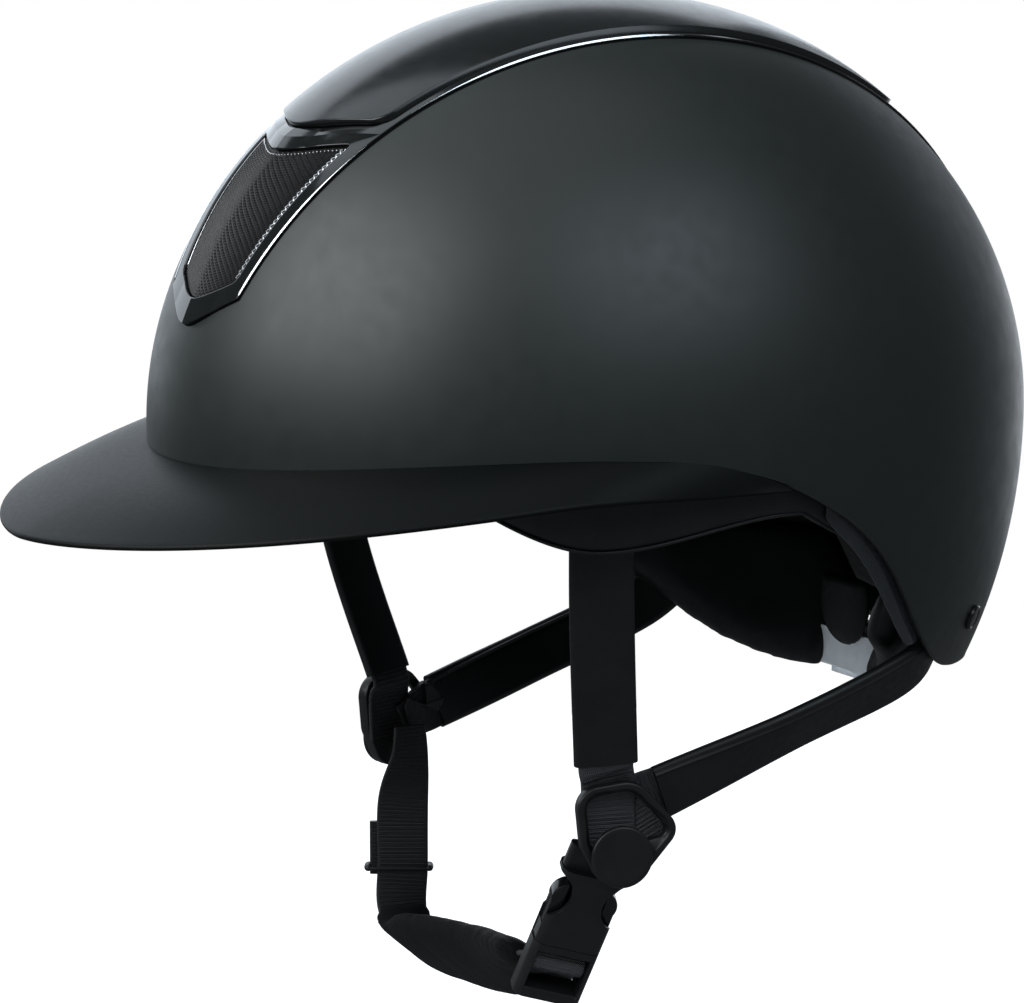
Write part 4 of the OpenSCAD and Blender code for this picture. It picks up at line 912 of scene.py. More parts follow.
def chain(rows):
    """Two waved wires that cross each other along the window's left edge."""
    length = (rows[1] - rows[0]) * DEGREE_MM
    run = np.arange(CHAIN_CLEAR, length - CHAIN_CLEAR, CHAIN_STEP)
    wave = 2 * np.pi * run / CHAIN_PITCH
    u = rows[0] + run / DEGREE_MM
    return [bright_wire(u, 1 - (RAIL + CHAIN_IN + side * CHAIN_WAVE * np.sin(wave)) / half_width(u),
                        CHAIN_LIFT + 0.15 * side * np.cos(wave)) for side in (-1, 1)]


def border_wire(rows):
    """Straight wire along the window's right edge."""
    u = np.linspace(rows[0] + 1.0, rows[1] - 1.0, 60)
    return bright_wire(u, -1 + (RAIL + BORDER_IN) / half_width(u), BORDER_LIFT)


def beads(row):
    """Small balls side by side along one end of a window."""
    half = half_width(row) - RAIL - 1.2
    count = int(2 * half / BEAD_PITCH)
    centre = panel_point(row, np.linspace(-half, half, count) / half_width(row), SEAT + BEAD_LIFT)
    turn = full_turn(8)
    tilt = np.linspace(-np.pi / 2 + 0.3, np.pi / 2 - 0.3, 5)[:, None]
    ball = np.stack([np.cos(tilt) * np.cos(turn), np.cos(tilt) * np.sin(turn), np.sin(tilt) + 0 * turn], -1)
    return [tube(BEAD_R * ball + place) for place in centre]


for label, rows, bead_row in (("front", MESH_FRONT, MESH_FRONT[1] - BEAD_ROW),
                              ("rear", MESH_REAR, MESH_REAR[0] + BEAD_ROW)):
    piece(f"{label}_wire_mesh", wire_mesh(rows), WIRE, "helmet", "mesh_weave", [f"{label}_mesh"], merge=0)
    piece(f"{label}_selvage", chain(rows) + [border_wire(rows)] + beads(bead_row), BRIGHT, "helmet",
          "mesh_weave", merge=0)


# %% [markdown]
# Impact liner: beaded foam, as thick as a finger, that fills the shell down to a level line. From below
# its bare lower edge and inner face show between the pads, so its beads are part of the material.

# %% Impact liner
DOME_GAP, FOAM_T, FOAM_INSET, FOAM_REAR_Z = 0.8, 21.5, 7.0, -52.0
FOAM_OUT = -SHELL_T - DOME_GAP
FOAM_IN = FOAM_OUT - FOAM_T


def foam_z(angle):
    """Lower edge of the liner: a step above the shell's edge, level behind the ears."""
    return np.maximum(edge_z(angle) + FOAM_INSET, FOAM_REAR_Z)


def bowl(foot, outer, inner, rows):
    """Closed bowl between two offsets: down the inside from its pole, round the foot and up the outside."""
    angle = np.linspace(-180, 180, len(foot), endpoint=False)
    low = latitude_of(foot)
    shares = np.linspace(0, 1, rows)
    ways = [(t, inner) for t in shares[::-1]] + [(t, outer) for t in shares]
    return np.stack([shell_point(angle, mix(low, POLE, t), off) for t, off in ways])


liner_angles = np.linspace(-180, 180, 240, endpoint=False)
piece("foam_liner", [tube(bowl(foam_z(liner_angles), FOAM_OUT, FOAM_IN, 40))], FOAM, "helmet", "impact_foam",
      ["impact_liner"], modify=cut_vents)

# %% [markdown]
# Comfort padding follows the shell's curve. Its section is a rounded bar: a superellipse whose inner
# side swells towards the head. The ends close with the same roundness.

# %% Padded bands
def padded_band(angles, low, high, outer, inner, swell, power=0.42, round_end=6.0):
    """Closed bar along the shell between two heights and two offsets.

    Its section is a superellipse in height and offset, and its inner side swells by a parabola.
    """
    turn = full_turn(36)
    c, s = squared(np.cos(turn), power), squared(np.sin(turn), power)
    length = np.radians(np.abs(angles - angles[0])) * (SHELL_W + SHELL_L) / 2
    close = rounded(np.minimum(length, length[-1] - length) / round_end)[:, None]
    middle, half = ((high + low) / 2)[:, None], ((high - low) / 2)[:, None]
    z = middle + half * c * mix(0.55, 1, close)
    off = (outer + inner) / 2 + (inner - outer) / 2 * s * close - swell * (1 - c ** 2) * (s > 0) * close
    return shell_point(angles[:, None], latitude_of(z), off)


PAD_T, BAND_END, BAND_LOW_Z, BAND_HIGH_Z, BAND_RISE = 5.5, 128.0, 4.0, 34.0, 16.0
PAD_OUT = FOAM_IN - DOME_GAP
PAD_IN = PAD_OUT - PAD_T
band_angles = np.linspace(-BAND_END, BAND_END, 260)
band_low = mix(BAND_LOW_Z, FOAM_REAR_Z + BAND_RISE, ease((np.abs(band_angles) - BEHIND_EAR) / 40))
band_high = np.full(len(band_angles), BAND_HIGH_Z)
band = tube(padded_band(band_angles, band_low, band_high, PAD_OUT, PAD_IN, 1.5))
head_band = piece("head_band_padding", [band], KNIT, "helmet", "comfort_fabric", ["head_band"], smooth=60,
                  modify=stuffed(2.5, 1.2))


CROWN_ROWS, LOBES = (42.0, 89.4), 8


def crown_padding():
    """Cap under the crown, sewn into lobes: it is thick between the seams and thin along them."""
    angle = np.linspace(-180, 180, 192, endpoint=False)
    rows = np.linspace(0, 1, 44)
    seam = np.abs(np.sin(np.radians(angle) * LOBES / 2)) ** 0.35
    outer = [shell_point(angle, mix(*CROWN_ROWS, t), PAD_OUT) for t in rows]
    inner = []
    for t in rows[::-1]:
        lobes = mix(0.75, mix(0.35, 1.0, seam), ease((1 - t) / 0.25))
        thick = PAD_T * rounded(t / 0.12) * lobes
        inner.append(shell_point(angle, mix(*CROWN_ROWS, t), PAD_OUT - thick))
    return tube(np.stack(inner + outer))


crown = piece("crown_padding", [crown_padding()], KNIT, "helmet", "comfort_fabric", ["crown_pad"], smooth=60,
              modify=stuffed(2.5, 1.2))

# %% [markdown]
# Leather trims hang under the liner beside the temples, and gloss strips line the arches behind them.
# Two soft pads hang at the nape. All three use the same band, each with its own heights.

# %% Side trims, arch strips and nape pads
TRIM_ANGLES, TRIM_OUT, TRIM_T = (47.0, 113.0), FOAM_OUT - 0.9, 8.0
TRIM_FRONT_Z, TRIM_DEEP, TRIM_DEEP_Z, TRIM_REAR_Z, TRIM_REAR_RISE = -8.0, 67.0, -25.5, -17.5, 9.5
ARCH_SPAN, ARCH_LEAD, STRIP_RISE = (97.0, 121.0), 3.0, 4.0
NAPE_SPAN, NAPE_OUT, NAPE_T = (119.5, 169.5), -12.0, 8.0
NAPE_HIGH_Z, NAPE_START_Z, NAPE_PAD_Z = FOAM_REAR_Z - 0.3, -68.0, -96.5
NAPE_DROP, NAPE_FALL = 10.0, 13.0
NAPE_ANGLES, NAPE_SHARES = [119, 124, 133, 141, 150, 160, 169.5], [0.02, 0.2, 0.58, 0.8, 0.94, 1, 0.99]
WELT_R = 0.5


def trim_low(a):
    """Lower edge of a side trim: down to the deepest point and up again to the arch."""
    front = mix(TRIM_FRONT_Z, TRIM_DEEP_Z, ease((a - TRIM_ANGLES[0]) / (TRIM_DEEP - TRIM_ANGLES[0])) ** 0.6)
    arch = ARCH_SPAN[0] - ARCH_LEAD
    along_arch = np.where(a > arch, edge_z(a) - edge_z(arch), 0)
    rise = TRIM_REAR_RISE * ease((a - ARCH_SPAN[0]) / (TRIM_ANGLES[1] - ARCH_SPAN[0]))
    rear = mix(TRIM_DEEP_Z, TRIM_REAR_Z, ease((a - TRIM_DEEP) / 25)) + along_arch + rise
    return np.where(a < TRIM_DEEP, front, rear)


def welt(angles, low, off):
    """Piping: a thin round cord along a lower edge."""
    path = shell_point(angles, latitude_of(low + WELT_R / 2), off)
    ahead = unit(np.gradient(path, axis=0))
    side = unit(np.cross(ahead, UP))
    return cord(path, WELT_R, 10, side, np.cross(side, ahead))


def mirrored(points, faces):
    """The same piece on the wearer's right."""
    return points * [-1, 1, 1], faces


def both_sides(name, made, finish, slot, node=None, padding=None, **options):
    """A left piece and its mirror image on the right."""
    for word, shape in (("left", made), ("right", mirrored(*made))):
        nodes = [f"{node}_{word}"] if node else []
        obj = piece(f"{name}_{word}", [shape], finish, "helmet", slot, nodes, **options)


a = np.linspace(*TRIM_ANGLES, 150)
trim = padded_band(a, trim_low(a), foam_z(a) - DOME_GAP, TRIM_OUT, TRIM_OUT - TRIM_T, 1.0)
both_sides("temple_trim", tube(trim), LEATHER, "soft_leather", "side_trim", padding=0.8, smooth=60)
both_sides("temple_welt", welt(a[3:-3], trim_low(a[3:-3]), TRIM_OUT - 0.9), LEATHER, "soft_leather", smooth=60)
a = np.linspace(*ARCH_SPAN, 60)
arch_low = np.maximum(edge_z(a + ARCH_LEAD), edge_z(ARCH_SPAN[1]))
arch = padded_band(a, arch_low, edge_z(a) + STRIP_RISE, FOAM_OUT + 0.6, FOAM_OUT - 1, 0, 0.8, round_end=5)
both_sides("arch_strip", tube(arch), STRIP, "panel_gloss", "arch_trim")
a = np.linspace(*NAPE_SPAN, 120)
nape_low = mix(NAPE_START_Z, NAPE_PAD_Z, np.interp(a, NAPE_ANGLES, NAPE_SHARES))
nape_high = NAPE_HIGH_Z - NAPE_DROP * ease(1 - (NAPE_SPAN[1] - a) / NAPE_FALL)
nape = padded_band(a, nape_low, nape_high, NAPE_OUT, NAPE_OUT - NAPE_T, 1.2)
both_sides("nape_cushion", tube(nape), LEATHER, "soft_leather", "nape_pad", padding=0.7, smooth=60,
           modify=stuffed(1.6, 1.0))

# %% [markdown]
# Tab: a small leather cushion in front of the dial's cradle, a disc with a square top.

# %% Nape tab
DIAL_Y, DIAL_Z, TAB_R, TAB_T, TAB_RISE, TAB_UP = 95.0, -80.0, 13.2, 4.0, 9.0, 15.0
HOUSING_T, CRADLE_T, TAB_GAP = 5.0, 2.0, 0.6
TAB_Y = DIAL_Y - HOUSING_T / 2 - CRADLE_T - TAB_GAP


def tab_cushion():
    """Rings that shrink from the outline to the middle while the cushion's face rises."""
    turn = full_turn(96)
    x, z = np.cos(turn), np.sin(turn)
    square = 1 / np.maximum(np.abs(x), np.abs(z) + 1e-9)
    reach = np.where(z > 0, mix(1.0, square, 0.8), 1.0)
    x, z = TAB_R * x * reach, np.where(z > 0, TAB_RISE, TAB_R) * z * reach
    face = [(t, TAB_T * math.sqrt(1 - 0.999 * t ** 4)) for t in np.linspace(0.02, 1, 14)]
    back = [(t, 0.0) for t in (0.98, 0.5, 0.02)]
    rows = [np.stack([x * t, np.full_like(x, -rise), z * t], -1) for t, rise in face + back]
    return tube(np.stack(rows) + [0, TAB_Y, DIAL_Z + TAB_UP])


tab = piece("nape_cushion_tab", [tab_cushion()], LEATHER, "helmet", "soft_leather", ["nape_tab"], smooth=60,
            modify=stuffed(0.9, 0.8))

# %% [markdown]
# Straps are flat strips along a smooth path. The path runs through a few knots, each with a point,
# the strip's facing direction, its width and its thickness. A Catmull-Rom curve joins them.

# %% Strips
def spline(values, q):
    """Catmull-Rom curve through the rows of values, at knot numbers q."""
    values = np.asarray(values, float)
    i = np.clip(np.floor(q).astype(int), 0, len(values) - 2)
    t = (q - i)[:, None]
    a, b, c, d = (values[np.clip(i + k, 0, len(values) - 1)] for k in (-1, 0, 1, 2))
    return 0.5 * (2 * b + (c - a) * t + (2 * a - 5 * b + 4 * c - d) * t ** 2 + (3 * b - a - 3 * c + d) * t ** 3)


def strip_path(knots, step, start, end):
    """Points, across and facing directions, width, thickness and run length of a strip."""
    end = len(knots) - 1 if end is None else end
    points = np.array([k[0] for k in knots], float)
    normals = np.array([unit(k[1]) for k in knots])
    sizes = np.array([[k[2], k[3]] for k in knots], float)
    fine = np.linspace(start, end, 400)
    run = np.concatenate([[0], np.cumsum(np.linalg.norm(np.diff(spline(points, fine), axis=0), axis=1))])
    rings = np.linspace(0, run[-1], max(3, int(run[-1] / step) + 1))
    q = np.interp(rings, run, fine)
    path = spline(points, q)
    ahead = unit(spline(points, np.minimum(q + 0.02, len(knots) - 1)) - spline(points, np.maximum(q - 0.02, 0)))
    normal = spline(normals, q)
    normal = unit(normal - ahead * np.sum(normal * ahead, axis=1, keepdims=True))
    size = spline(sizes, q)
    return path, np.cross(normal, ahead), normal, size[:, 0], size[:, 1], rings


EDGE_SHARE, EDGE_POINTS = 0.45, 9


def strip_section(flat_points):
    """Section of a strip round its border, from -1 to 1 both ways: flat faces and rounded edges."""
    turn = np.linspace(-np.pi / 2, np.pi / 2, EDGE_POINTS)
    flat, edge = np.linspace(1, -1, flat_points + 2)[1:-1], np.ones(EDGE_POINTS)
    across = np.concatenate([edge, flat, -edge, -flat])
    out = np.concatenate([np.sin(turn), np.ones(flat_points), -np.sin(turn), -np.ones(flat_points)])
    bow = np.concatenate([np.cos(turn), 0 * flat, np.cos(turn), 0 * flat])
    return across, out, bow


def strip(knots, step, relief, start=0.0, end=None, flat_points=15):
    """Closed strip and its map: across and along in millimetres. relief(across, along) lifts its faces."""
    path, side, normal, width, thick, run = strip_path(knots, step, start, end)
    across, out, bow = strip_section(flat_points)
    rounding = EDGE_SHARE * thick[:, None]
    x = across * (width[:, None] / 2 - rounding) + np.sign(across) * bow * rounding
    along = run[:, None] + 0 * x
    lift = thick[:, None] / 2 * out + np.sign(out) * (np.abs(across) < 1) * relief(x, along)
    grid = path[:, None] + x[..., None] * side[:, None] + lift[..., None] * normal[:, None]
    return grid, np.stack([x, along], -1)


def strap_piece(name, parts, finish, body, slot, nodes):
    """Piece from strips, with the strips' maps as its own UV map."""
    obj = piece(name, [tube(grid) for grid, _ in parts], finish, body, slot, nodes, smooth=50, merge=0)
    places = np.concatenate([uv.reshape(-1, 2) for _, uv in parts])
    mesh = obj.data
    corner = np.empty(len(mesh.loops), int)
    mesh.loops.foreach_get("vertex_index", corner)
    mesh.uv_layers.new(name="strip").data.foreach_set("uv", places[corner].ravel())
    return obj


# %% [markdown]
# The webbing has ribs across it, about one and a quarter millimetres apart, in real relief.

# %% Strap knots
SLEEVE_W, SLEEVE_T, REAR_SLEEVE_W, WEB_W, WEB_T = 18.0, 3.2, 17.0, 15.5, 1.6
RIB_PITCH, RIB_H, CROWN_RISE, CROWN_HALF = 1.25, 0.09, 0.12, 6.5
HEM = (0.6, 1.9, 0.38), (-0.16, 2.8, 0.35)
TILT_FRONT = np.array([math.cos(math.radians(22)), -math.sin(math.radians(22)), 0])
TILT_REAR, REAR_LOW_N = unit([0.84, 0.2, -0.5]), unit([0.96, -0.1, -0.2])
FRONT_TOP, FRONT_MID = [84.5, -44, 6], [81, -42.3, -40]
FRONT_LOW = {1: [68.8, -33.9, -88], -1: [65.6, -33.9, -86]}
REAR_BOW = {1: [77.5, 22, -82.5], -1: [77, 22, -88]}
REAR_LOW = {1: [69.3, -16.9, -98.1], -1: [69.6, -16.2, -97.8]}
WEB_ENTER = {1: 19.5, -1: 14.0}
PIVOTS = {1: np.array([70, -29.5, -114.5]), -1: np.array([-70, -29.5, -107.5])}
DIVIDER_T, DIVIDER_TILT, SEAT_GAP = 3.2, math.radians(15), 0.3
WEB_LAYER_1 = -(DIVIDER_T + WEB_T) / 2 - 2 * SEAT_GAP
WEB_LAYER_2 = WEB_LAYER_1 - WEB_T - 2 * SEAT_GAP
RIVET_ANGLE, RIVET_Z, STRAP_OFF = 134.0, -57.0, -SHELL_T - 1.8 - SLEEVE_T / 2
REAR_SIDE = {1: shell_point(122.1, latitude_of(-72.6), STRAP_OFF + 1.3),
             -1: shell_point(122.1, latitude_of(-76.8), STRAP_OFF + 2)}
FRONT_WEB_END, REAR_WEB_END = 1.0, {1: (4.5, 13.2), -1: (7.5, 10)}
FOLD_ENDS, FOLD_W, FOLD_LAYER = ((2.4, 13.6), (5.4, 8.2), (8.5, 2.7)), 13.5, -3.9
FRONT_WEB_A = {1: -3.2, -1: -5.2}
TUCK, FRONT_STRAIGHT, REAR_STRAIGHT, REAR_SINK = 4.0, {1: 1.6, -1: 3.0}, 5.0, 1.4
LAYER_STEP = WEB_T + 0.6


def on_side(v, side):
    """A left-hand place or direction, on either side."""
    return np.array([side * v[0], v[1], v[2]])


def divider_axes(side):
    """Directions back along a divider and outwards from it."""
    return (np.array([side * math.sin(DIVIDER_TILT), math.cos(DIVIDER_TILT), 0]),
            np.array([side * math.cos(DIVIDER_TILT), -math.sin(DIVIDER_TILT), 0]))


def on_divider(side, a, b, c):
    back, out = divider_axes(side)
    return PIVOTS[side] + a * back + b * UP + c * out


def rivet_normal():
    """Outward direction of the shell at the rivet."""
    p = shell_point(RIVET_ANGLE, latitude_of(RIVET_Z))
    return unit(p / [SHELL_W ** 2, SHELL_L ** 2, SHELL_D ** 2])


def ribs(x, run):
    """Relief of the webbing: rounded ribs across the strip."""
    return RIB_H * np.cos(2 * np.pi * run / RIB_PITCH)


def crowned(x, run):
    """Relief of a sleeve: a low crown along its middle."""
    return CROWN_RISE * np.clip(1 - (x / CROWN_HALF) ** 2, 0, 1)


def rear_hem(side):
    """Relief of a rear sleeve: a crown, a sharp ridge beside its upper edge and a sewn groove under it."""
    def relief(x, run):
        inset = REAR_SLEEVE_W / 2 + side * x
        bumps = [height * np.exp(-((inset - place) / spread) ** 2) for height, place, spread in HEM]
        return sum(bumps, crowned(x, run))
    return relief


def front_sleeve_knots(side):
    n = on_side(TILT_FRONT, side)
    return [(on_side(p, side), n, SLEEVE_W, SLEEVE_T) for p in (FRONT_TOP, FRONT_MID, FRONT_LOW[side])]


def rear_sleeve_knots(side):
    n = rivet_normal()
    places = [(shell_point(RIVET_ANGLE + 5, latitude_of(RIVET_Z - 4), STRAP_OFF), n),
              (shell_point(RIVET_ANGLE - 3, latitude_of(RIVET_Z - 7), STRAP_OFF), n),
              (REAR_SIDE[side], unit([0.82, 0.42, -0.35])), (REAR_BOW[side], TILT_REAR),
              (REAR_LOW[side], REAR_LOW_N)]
    return [(on_side(p, side), on_side(n, side), REAR_SLEEVE_W, SLEEVE_T) for p, n in places]


def web_knot(p, n, width=WEB_W):
    return np.asarray(p), n, width, WEB_T


def front_web_knots(side):
    top, n = on_side(FRONT_LOW[side], side), on_side(TILT_FRONT, side)
    d, out = unit(top - on_side(FRONT_MID, side)), divider_axes(side)[1]
    return [web_knot(top - TUCK * d, n), web_knot(top + FRONT_STRAIGHT[side] * d, n),
            web_knot(on_divider(side, FRONT_WEB_A[side], WEB_ENTER[side], WEB_LAYER_1), out),
            web_knot(on_divider(side, FRONT_WEB_A[side] + 0.4, FRONT_WEB_END, WEB_LAYER_1), out)]


def rear_web_knots(side):
    top, n = on_side(REAR_LOW[side], side), on_side(REAR_LOW_N, side)
    d, out = unit(top - on_side(REAR_BOW[side], side)), divider_axes(side)[1]
    return [web_knot(top - TUCK * d, n), web_knot(top + REAR_STRAIGHT * d - REAR_SINK * out, out),
            web_knot(on_divider(side, *REAR_WEB_END[side], WEB_LAYER_2), out)]


RIVET_R, RIVET_STEM = 3.8, 2.0
RIVET_PROFILE = [(0.02, -8.2), (RIVET_STEM, -8.2), (RIVET_STEM, 0.1), (RIVET_R, 0.12), (RIVET_R, 0.7),
                 (RIVET_R - 0.12, 1.0), (RIVET_R - 0.4, 1.2), (RIVET_R - 0.8, 1.15), (RIVET_R - 1.1, 0.95),
                 (RIVET_R - 1.6, 1.0), (1.0, 1.15), (0.02, 1.2)]
rivet_place = shell_point(RIVET_ANGLE, latitude_of(RIVET_Z))
rivet = lathe(RIVET_PROFILE, 64, rivet_place, rivet_normal())
piece("rivet_pair", [rivet, mirrored(*rivet)], MOULDED_SMOOTH, "helmet", "rivet_black", ["strap_rivets"],
      smooth=50)

# The near (left) webs take the lit copy of the webbing, with the stronger painted sheen; the far ones take the
# shaded copy.
SIDES = (1, "left", LIT_WEBBING), (-1, "right", WEBBING)
for side, word, web in SIDES:
    front = [strip(front_sleeve_knots(side), 1.0, crowned)]
    rear = [strip(rear_sleeve_knots(side), 1.0, rear_hem(side), flat_points=61)]
    fold = [web_knot(on_divider(side, a, b, FOLD_LAYER), divider_axes(side)[1], FOLD_W) for a, b in FOLD_ENDS]
    webs = [strip(knots, 0.2, ribs) for knots in (front_web_knots(side), rear_web_knots(side), fold)]
    for name, parts, finish, slot, node in (
            ("front_strap", front, LEATHER, "soft_leather", "front_sleeve"),
            ("rear_strap", rear, LEATHER, "soft_leather", "rear_sleeve"),
            ("front_web", webs[:1], web, "webbing", "front_webbing"),
            ("rear_web", webs[1:], web, "webbing", "rear_webbing")):
        strap_piece(f"{name}_{word}", parts, finish, "helmet", slot, [f"{node}_{word}"])

# %% [markdown]
# Divider: a plate with a window for the straps. Outline and window are both smooth curves round a set
# of circles. Rays from one point meet both, so a grid of rings fills the plate between them.

# %% Dividers
FOOT, CAP_R = (-0.7, 0.3), 8.8
PLATE_CORNERS = np.array([[-6.2, 5, 6], [-6.6, 13.8, 6.5], [0.5, 12.4, 8.8], [10, 7.2, 5.2]])
WINDOW_INSET, PIN_FOOT = 2.9, 6.4
DIVIDER_CORNERS = np.vstack([[*FOOT, CAP_R + 0.2], PLATE_CORNERS])
WINDOW_CORNERS = PLATE_CORNERS - [0, 0, WINDOW_INSET]
RAY_CENTRE = np.array([1.0, 10.6])
DIVIDER_RIM, RIM_BEVEL = 0.8, 0.7


RAYS = 288


def round_hull(circles):
    """Where rays from RAY_CENTRE meet the convex curve round circles: the least of all tangent lines."""
    ray, normal = (np.stack([np.cos(way), np.sin(way)], -1) for way in (full_turn(RAYS), full_turn(5 * RAYS)))
    support = np.max(circles[:, :2] @ normal.T + circles[:, 2:], axis=0) - normal @ RAY_CENTRE
    slope = ray @ normal.T
    reach = np.min(np.where(slope > 1e-6, support / np.maximum(slope, 1e-6), np.inf), axis=1)
    return ray, reach


def divider_plate(side):
    """Rings round the plate: window wall, inner face, outer wall, rounded rim and its slope to the window.

    The window's rays stop at the round foot that is left standing about the pin.
    """
    ray, outline = round_hull(DIVIDER_CORNERS)
    _, window = round_hull(WINDOW_CORNERS)
    toward = ray @ RAY_CENTRE
    under = toward ** 2 - RAY_CENTRE @ RAY_CENTRE + PIN_FOOT ** 2
    foot = np.where((under > 0) & (toward < 0), -toward - np.sqrt(np.maximum(under, 0)), np.inf)
    window = np.minimum(window, foot)
    room = outline - window
    low, high, top = -DIVIDER_T / 2, DIVIDER_T / 2, DIVIDER_T / 2 + DIVIDER_RIM
    rows = [(window + np.minimum(0.6, 0.3 * room), high - 0.1), (window + 0.2, high - 0.35),
            (window, high - 0.8), (window, low + 0.4), (window + 0.4, low)]
    rows += [(outline - inset, h) for inset, h in ((0.4, low), (0.1, low + 0.12), (0.0, low + 0.4),
                                                   (0.0, top - RIM_BEVEL))]
    for turn in np.radians([22, 45, 67, 90]):
        rows.append((outline - RIM_BEVEL * (1 - math.cos(turn)), top - RIM_BEVEL * (1 - math.sin(turn))))
    for inset, h in ((1.5, top), (1.75, top - 0.05), (2.0, top - 0.22), (2.25, top - 0.5)):
        rows.append((outline - np.minimum(inset, room * inset / WINDOW_INSET), h))
    plane = np.stack([np.concatenate([RAY_CENTRE + ray * reach[:, None], np.full((len(ray), 1), h)], 1)
                      for reach, h in rows])
    back, out = divider_axes(side)
    return ring(PIVOTS[side] + plane @ np.stack([back, UP, out]))


CAP_T = 1.8
CAP_PROFILE = [(0.3, 0), (CAP_R - 0.4, 0), (CAP_R, 0.4), (CAP_R, CAP_T - 0.55),
               (CAP_R - 0.18, CAP_T - 0.16), (CAP_R - 0.6, CAP_T), (CAP_R - 1.6, CAP_T - 0.02),
               (CAP_R - 2.2, CAP_T - 0.14), (0.3, CAP_T - 0.2)]
for side, word, _ in SIDES:
    piece(f"strap_divider_{word}", [divider_plate(side)], MOULDED, "helmet", "buckle_plastic",
          [f"divider_{word}"], smooth=50)
    cap_seat = on_divider(side, *FOOT, DIVIDER_T / 2 + DIVIDER_RIM + 0.1)
    piece(f"divider_cap_{word}", [lathe(CAP_PROFILE, 128, cap_seat, divider_axes(side)[1])], MOULDED, "helmet",
          "buckle_plastic", [f"cap_{word}"], smooth=50)

# %% [markdown]
# Hard pieces with the right shape keep it. A copy of each gets its doubles merged, its flat faces
# joined and its edges rounded, because a moulding has no sharp edge.

# %% Softened mouldings
def softened(name, node, finish, body, width):
    """Copy of a CAD node with rounded edges."""
    work = bmesh.new()
    work.from_mesh(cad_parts[node].data)
    bmesh.ops.remove_doubles(work, verts=work.verts, dist=0.001 * MM)
    bmesh.ops.dissolve_limit(work, angle_limit=math.radians(2), verts=work.verts, edges=work.edges)
    mesh = bpy.data.meshes.new(name)
    work.to_mesh(mesh)
    work.free()
    obj = placed(name, mesh, finish)
    round_edges(obj, width, 30)
    return finish_piece(obj, body, [node], 40)


for name, node, finish, body, slot, width in (
        ("socket_moulding", "buckle_socket", MOULDED, "chin_loop", "buckle_plastic", 0.5),
        ("plug_moulding", "buckle_plug", MOULDED, "plug", "buckle_plastic", 0.45),
        ("front_latch_moulding", "latch_arm_front", MOULDED_SMOOTH, "latch_front", "buckle_plastic", 0.8),
        ("rear_latch_moulding", "latch_arm_rear", MOULDED_SMOOTH, "latch_rear", "buckle_plastic", 0.8),
        ("dial_case", "dial_housing", CLOUDY, "helmet", "dial_plastic", 0.5),
        ("dial_wheel", "dial_knob", CLOUDY, "dial", "dial_plastic", 0.35),
        ("cradle_strip", "nape_cradle", CLOUDY, "helmet", "dial_plastic", 0.4)):
    softened(name, node, finish, body, width)
for node, finish in (("dial_shaft", MOULDED), ("belt_left", MOULDED), ("belt_right", MOULDED),
                     ("pivot_pins", STEEL)):
    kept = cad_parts[node]
    kept.data.materials.clear()
    kept.data.materials.append(finish)

# %% [markdown]
# Chin webbing runs down from the right divider, turns under the chin inside a soft pad, and comes up
# to the bar of the buckle's plug. Its path is the CAD path, so the strip fills the same space.

# %% Chin webbing
BUCKLE_S = unit([-0.4, -0.16, -0.9])
FLAT_Q = unit(np.cross(np.cross(BUCKLE_S, [0, -1, 0]), BUCKLE_S))
FLAT_N = np.cross(FLAT_Q, BUCKLE_S)
BUCKLE_TURN = math.radians(20)
BUCKLE_Q = math.cos(BUCKLE_TURN) * FLAT_Q - math.sin(BUCKLE_TURN) * FLAT_N
BUCKLE_N = np.cross(BUCKLE_Q, BUCKLE_S)
EYE_GAP, EYE_T, FAR_EYE_R, BUCKLE_T = 4.2, 3.2, 3.4, 9.0
EYE_MIDDLE = DIVIDER_T / 2 + EYE_GAP + EYE_T / 2
BUCKLE_O = PIVOTS[1] - [EYE_MIDDLE, 0, 0] + 1.2 * BUCKLE_Q
PIVOT_AXIS = unit(PIVOTS[1] - PIVOTS[-1])
FAR_TOP = PIVOTS[-1] + EYE_MIDDLE * PIVOT_AXIS
FAR_FLAT, FAR_TURNED = np.array([-1.0, 0, 0]), unit([-0.88, 0.47, 0])
CHIN_FAR = np.array([-62.5, -30.8, -146])
CHIN_PAD_W, CHIN_PAD_T, BAR_S = 27.0, 9.0, 39.1


def on_buckle(q, s, n):
    return BUCKLE_O + q * BUCKLE_Q + s * BUCKLE_S + n * BUCKLE_N


BAR_END = on_buckle(0, BAR_S + 3.4, -0.4)
CHIN_RUN = [web_knot(p, unit(n), *width) for p, n, *width in (
    (FAR_TOP + [2.5, 0, 5.5], FAR_FLAT, 10.5), (FAR_TOP + [2.5, 0, -3.5], FAR_FLAT, 12.5),
    ([-62.6, -30.6, -127], FAR_TURNED), (CHIN_FAR, FAR_TURNED),
    ([-61.6, -31.6, -158.5], [-0.85, 0.2, -0.45]), ([-54.5, -31.5, -167], [-0.35, -0.6, -0.7]),
    ([-28, -31, -164.8], [0, -0.8, -0.6]), ([2, -31.5, -161], [0, -0.8, -0.6]),
    (on_buckle(1, BAR_S + 8, -BUCKLE_T / 2 - CHIN_PAD_T / 2 - 1), [0.5, -0.5, -0.7]),
    (on_buckle(-1.3, BAR_S + 6, -BUCKLE_T / 2 - 1.6), BUCKLE_N), (BAR_END, BUCKLE_N + 0.4 * BUCKLE_S))]
FAR_KNOT, NEAR_KNOT = 4, 8
BAR_WRAP, WRAP_ANGLES = 2.55, np.radians([-75, -40, 0, 40, 80, 120, 160, 200, 235])
strap_piece("chin_web", [strip(CHIN_RUN, 0.25, ribs, 0, FAR_KNOT + 0.25)], WEBBING, "chin_loop", "webbing",
            ["chin_webbing"])
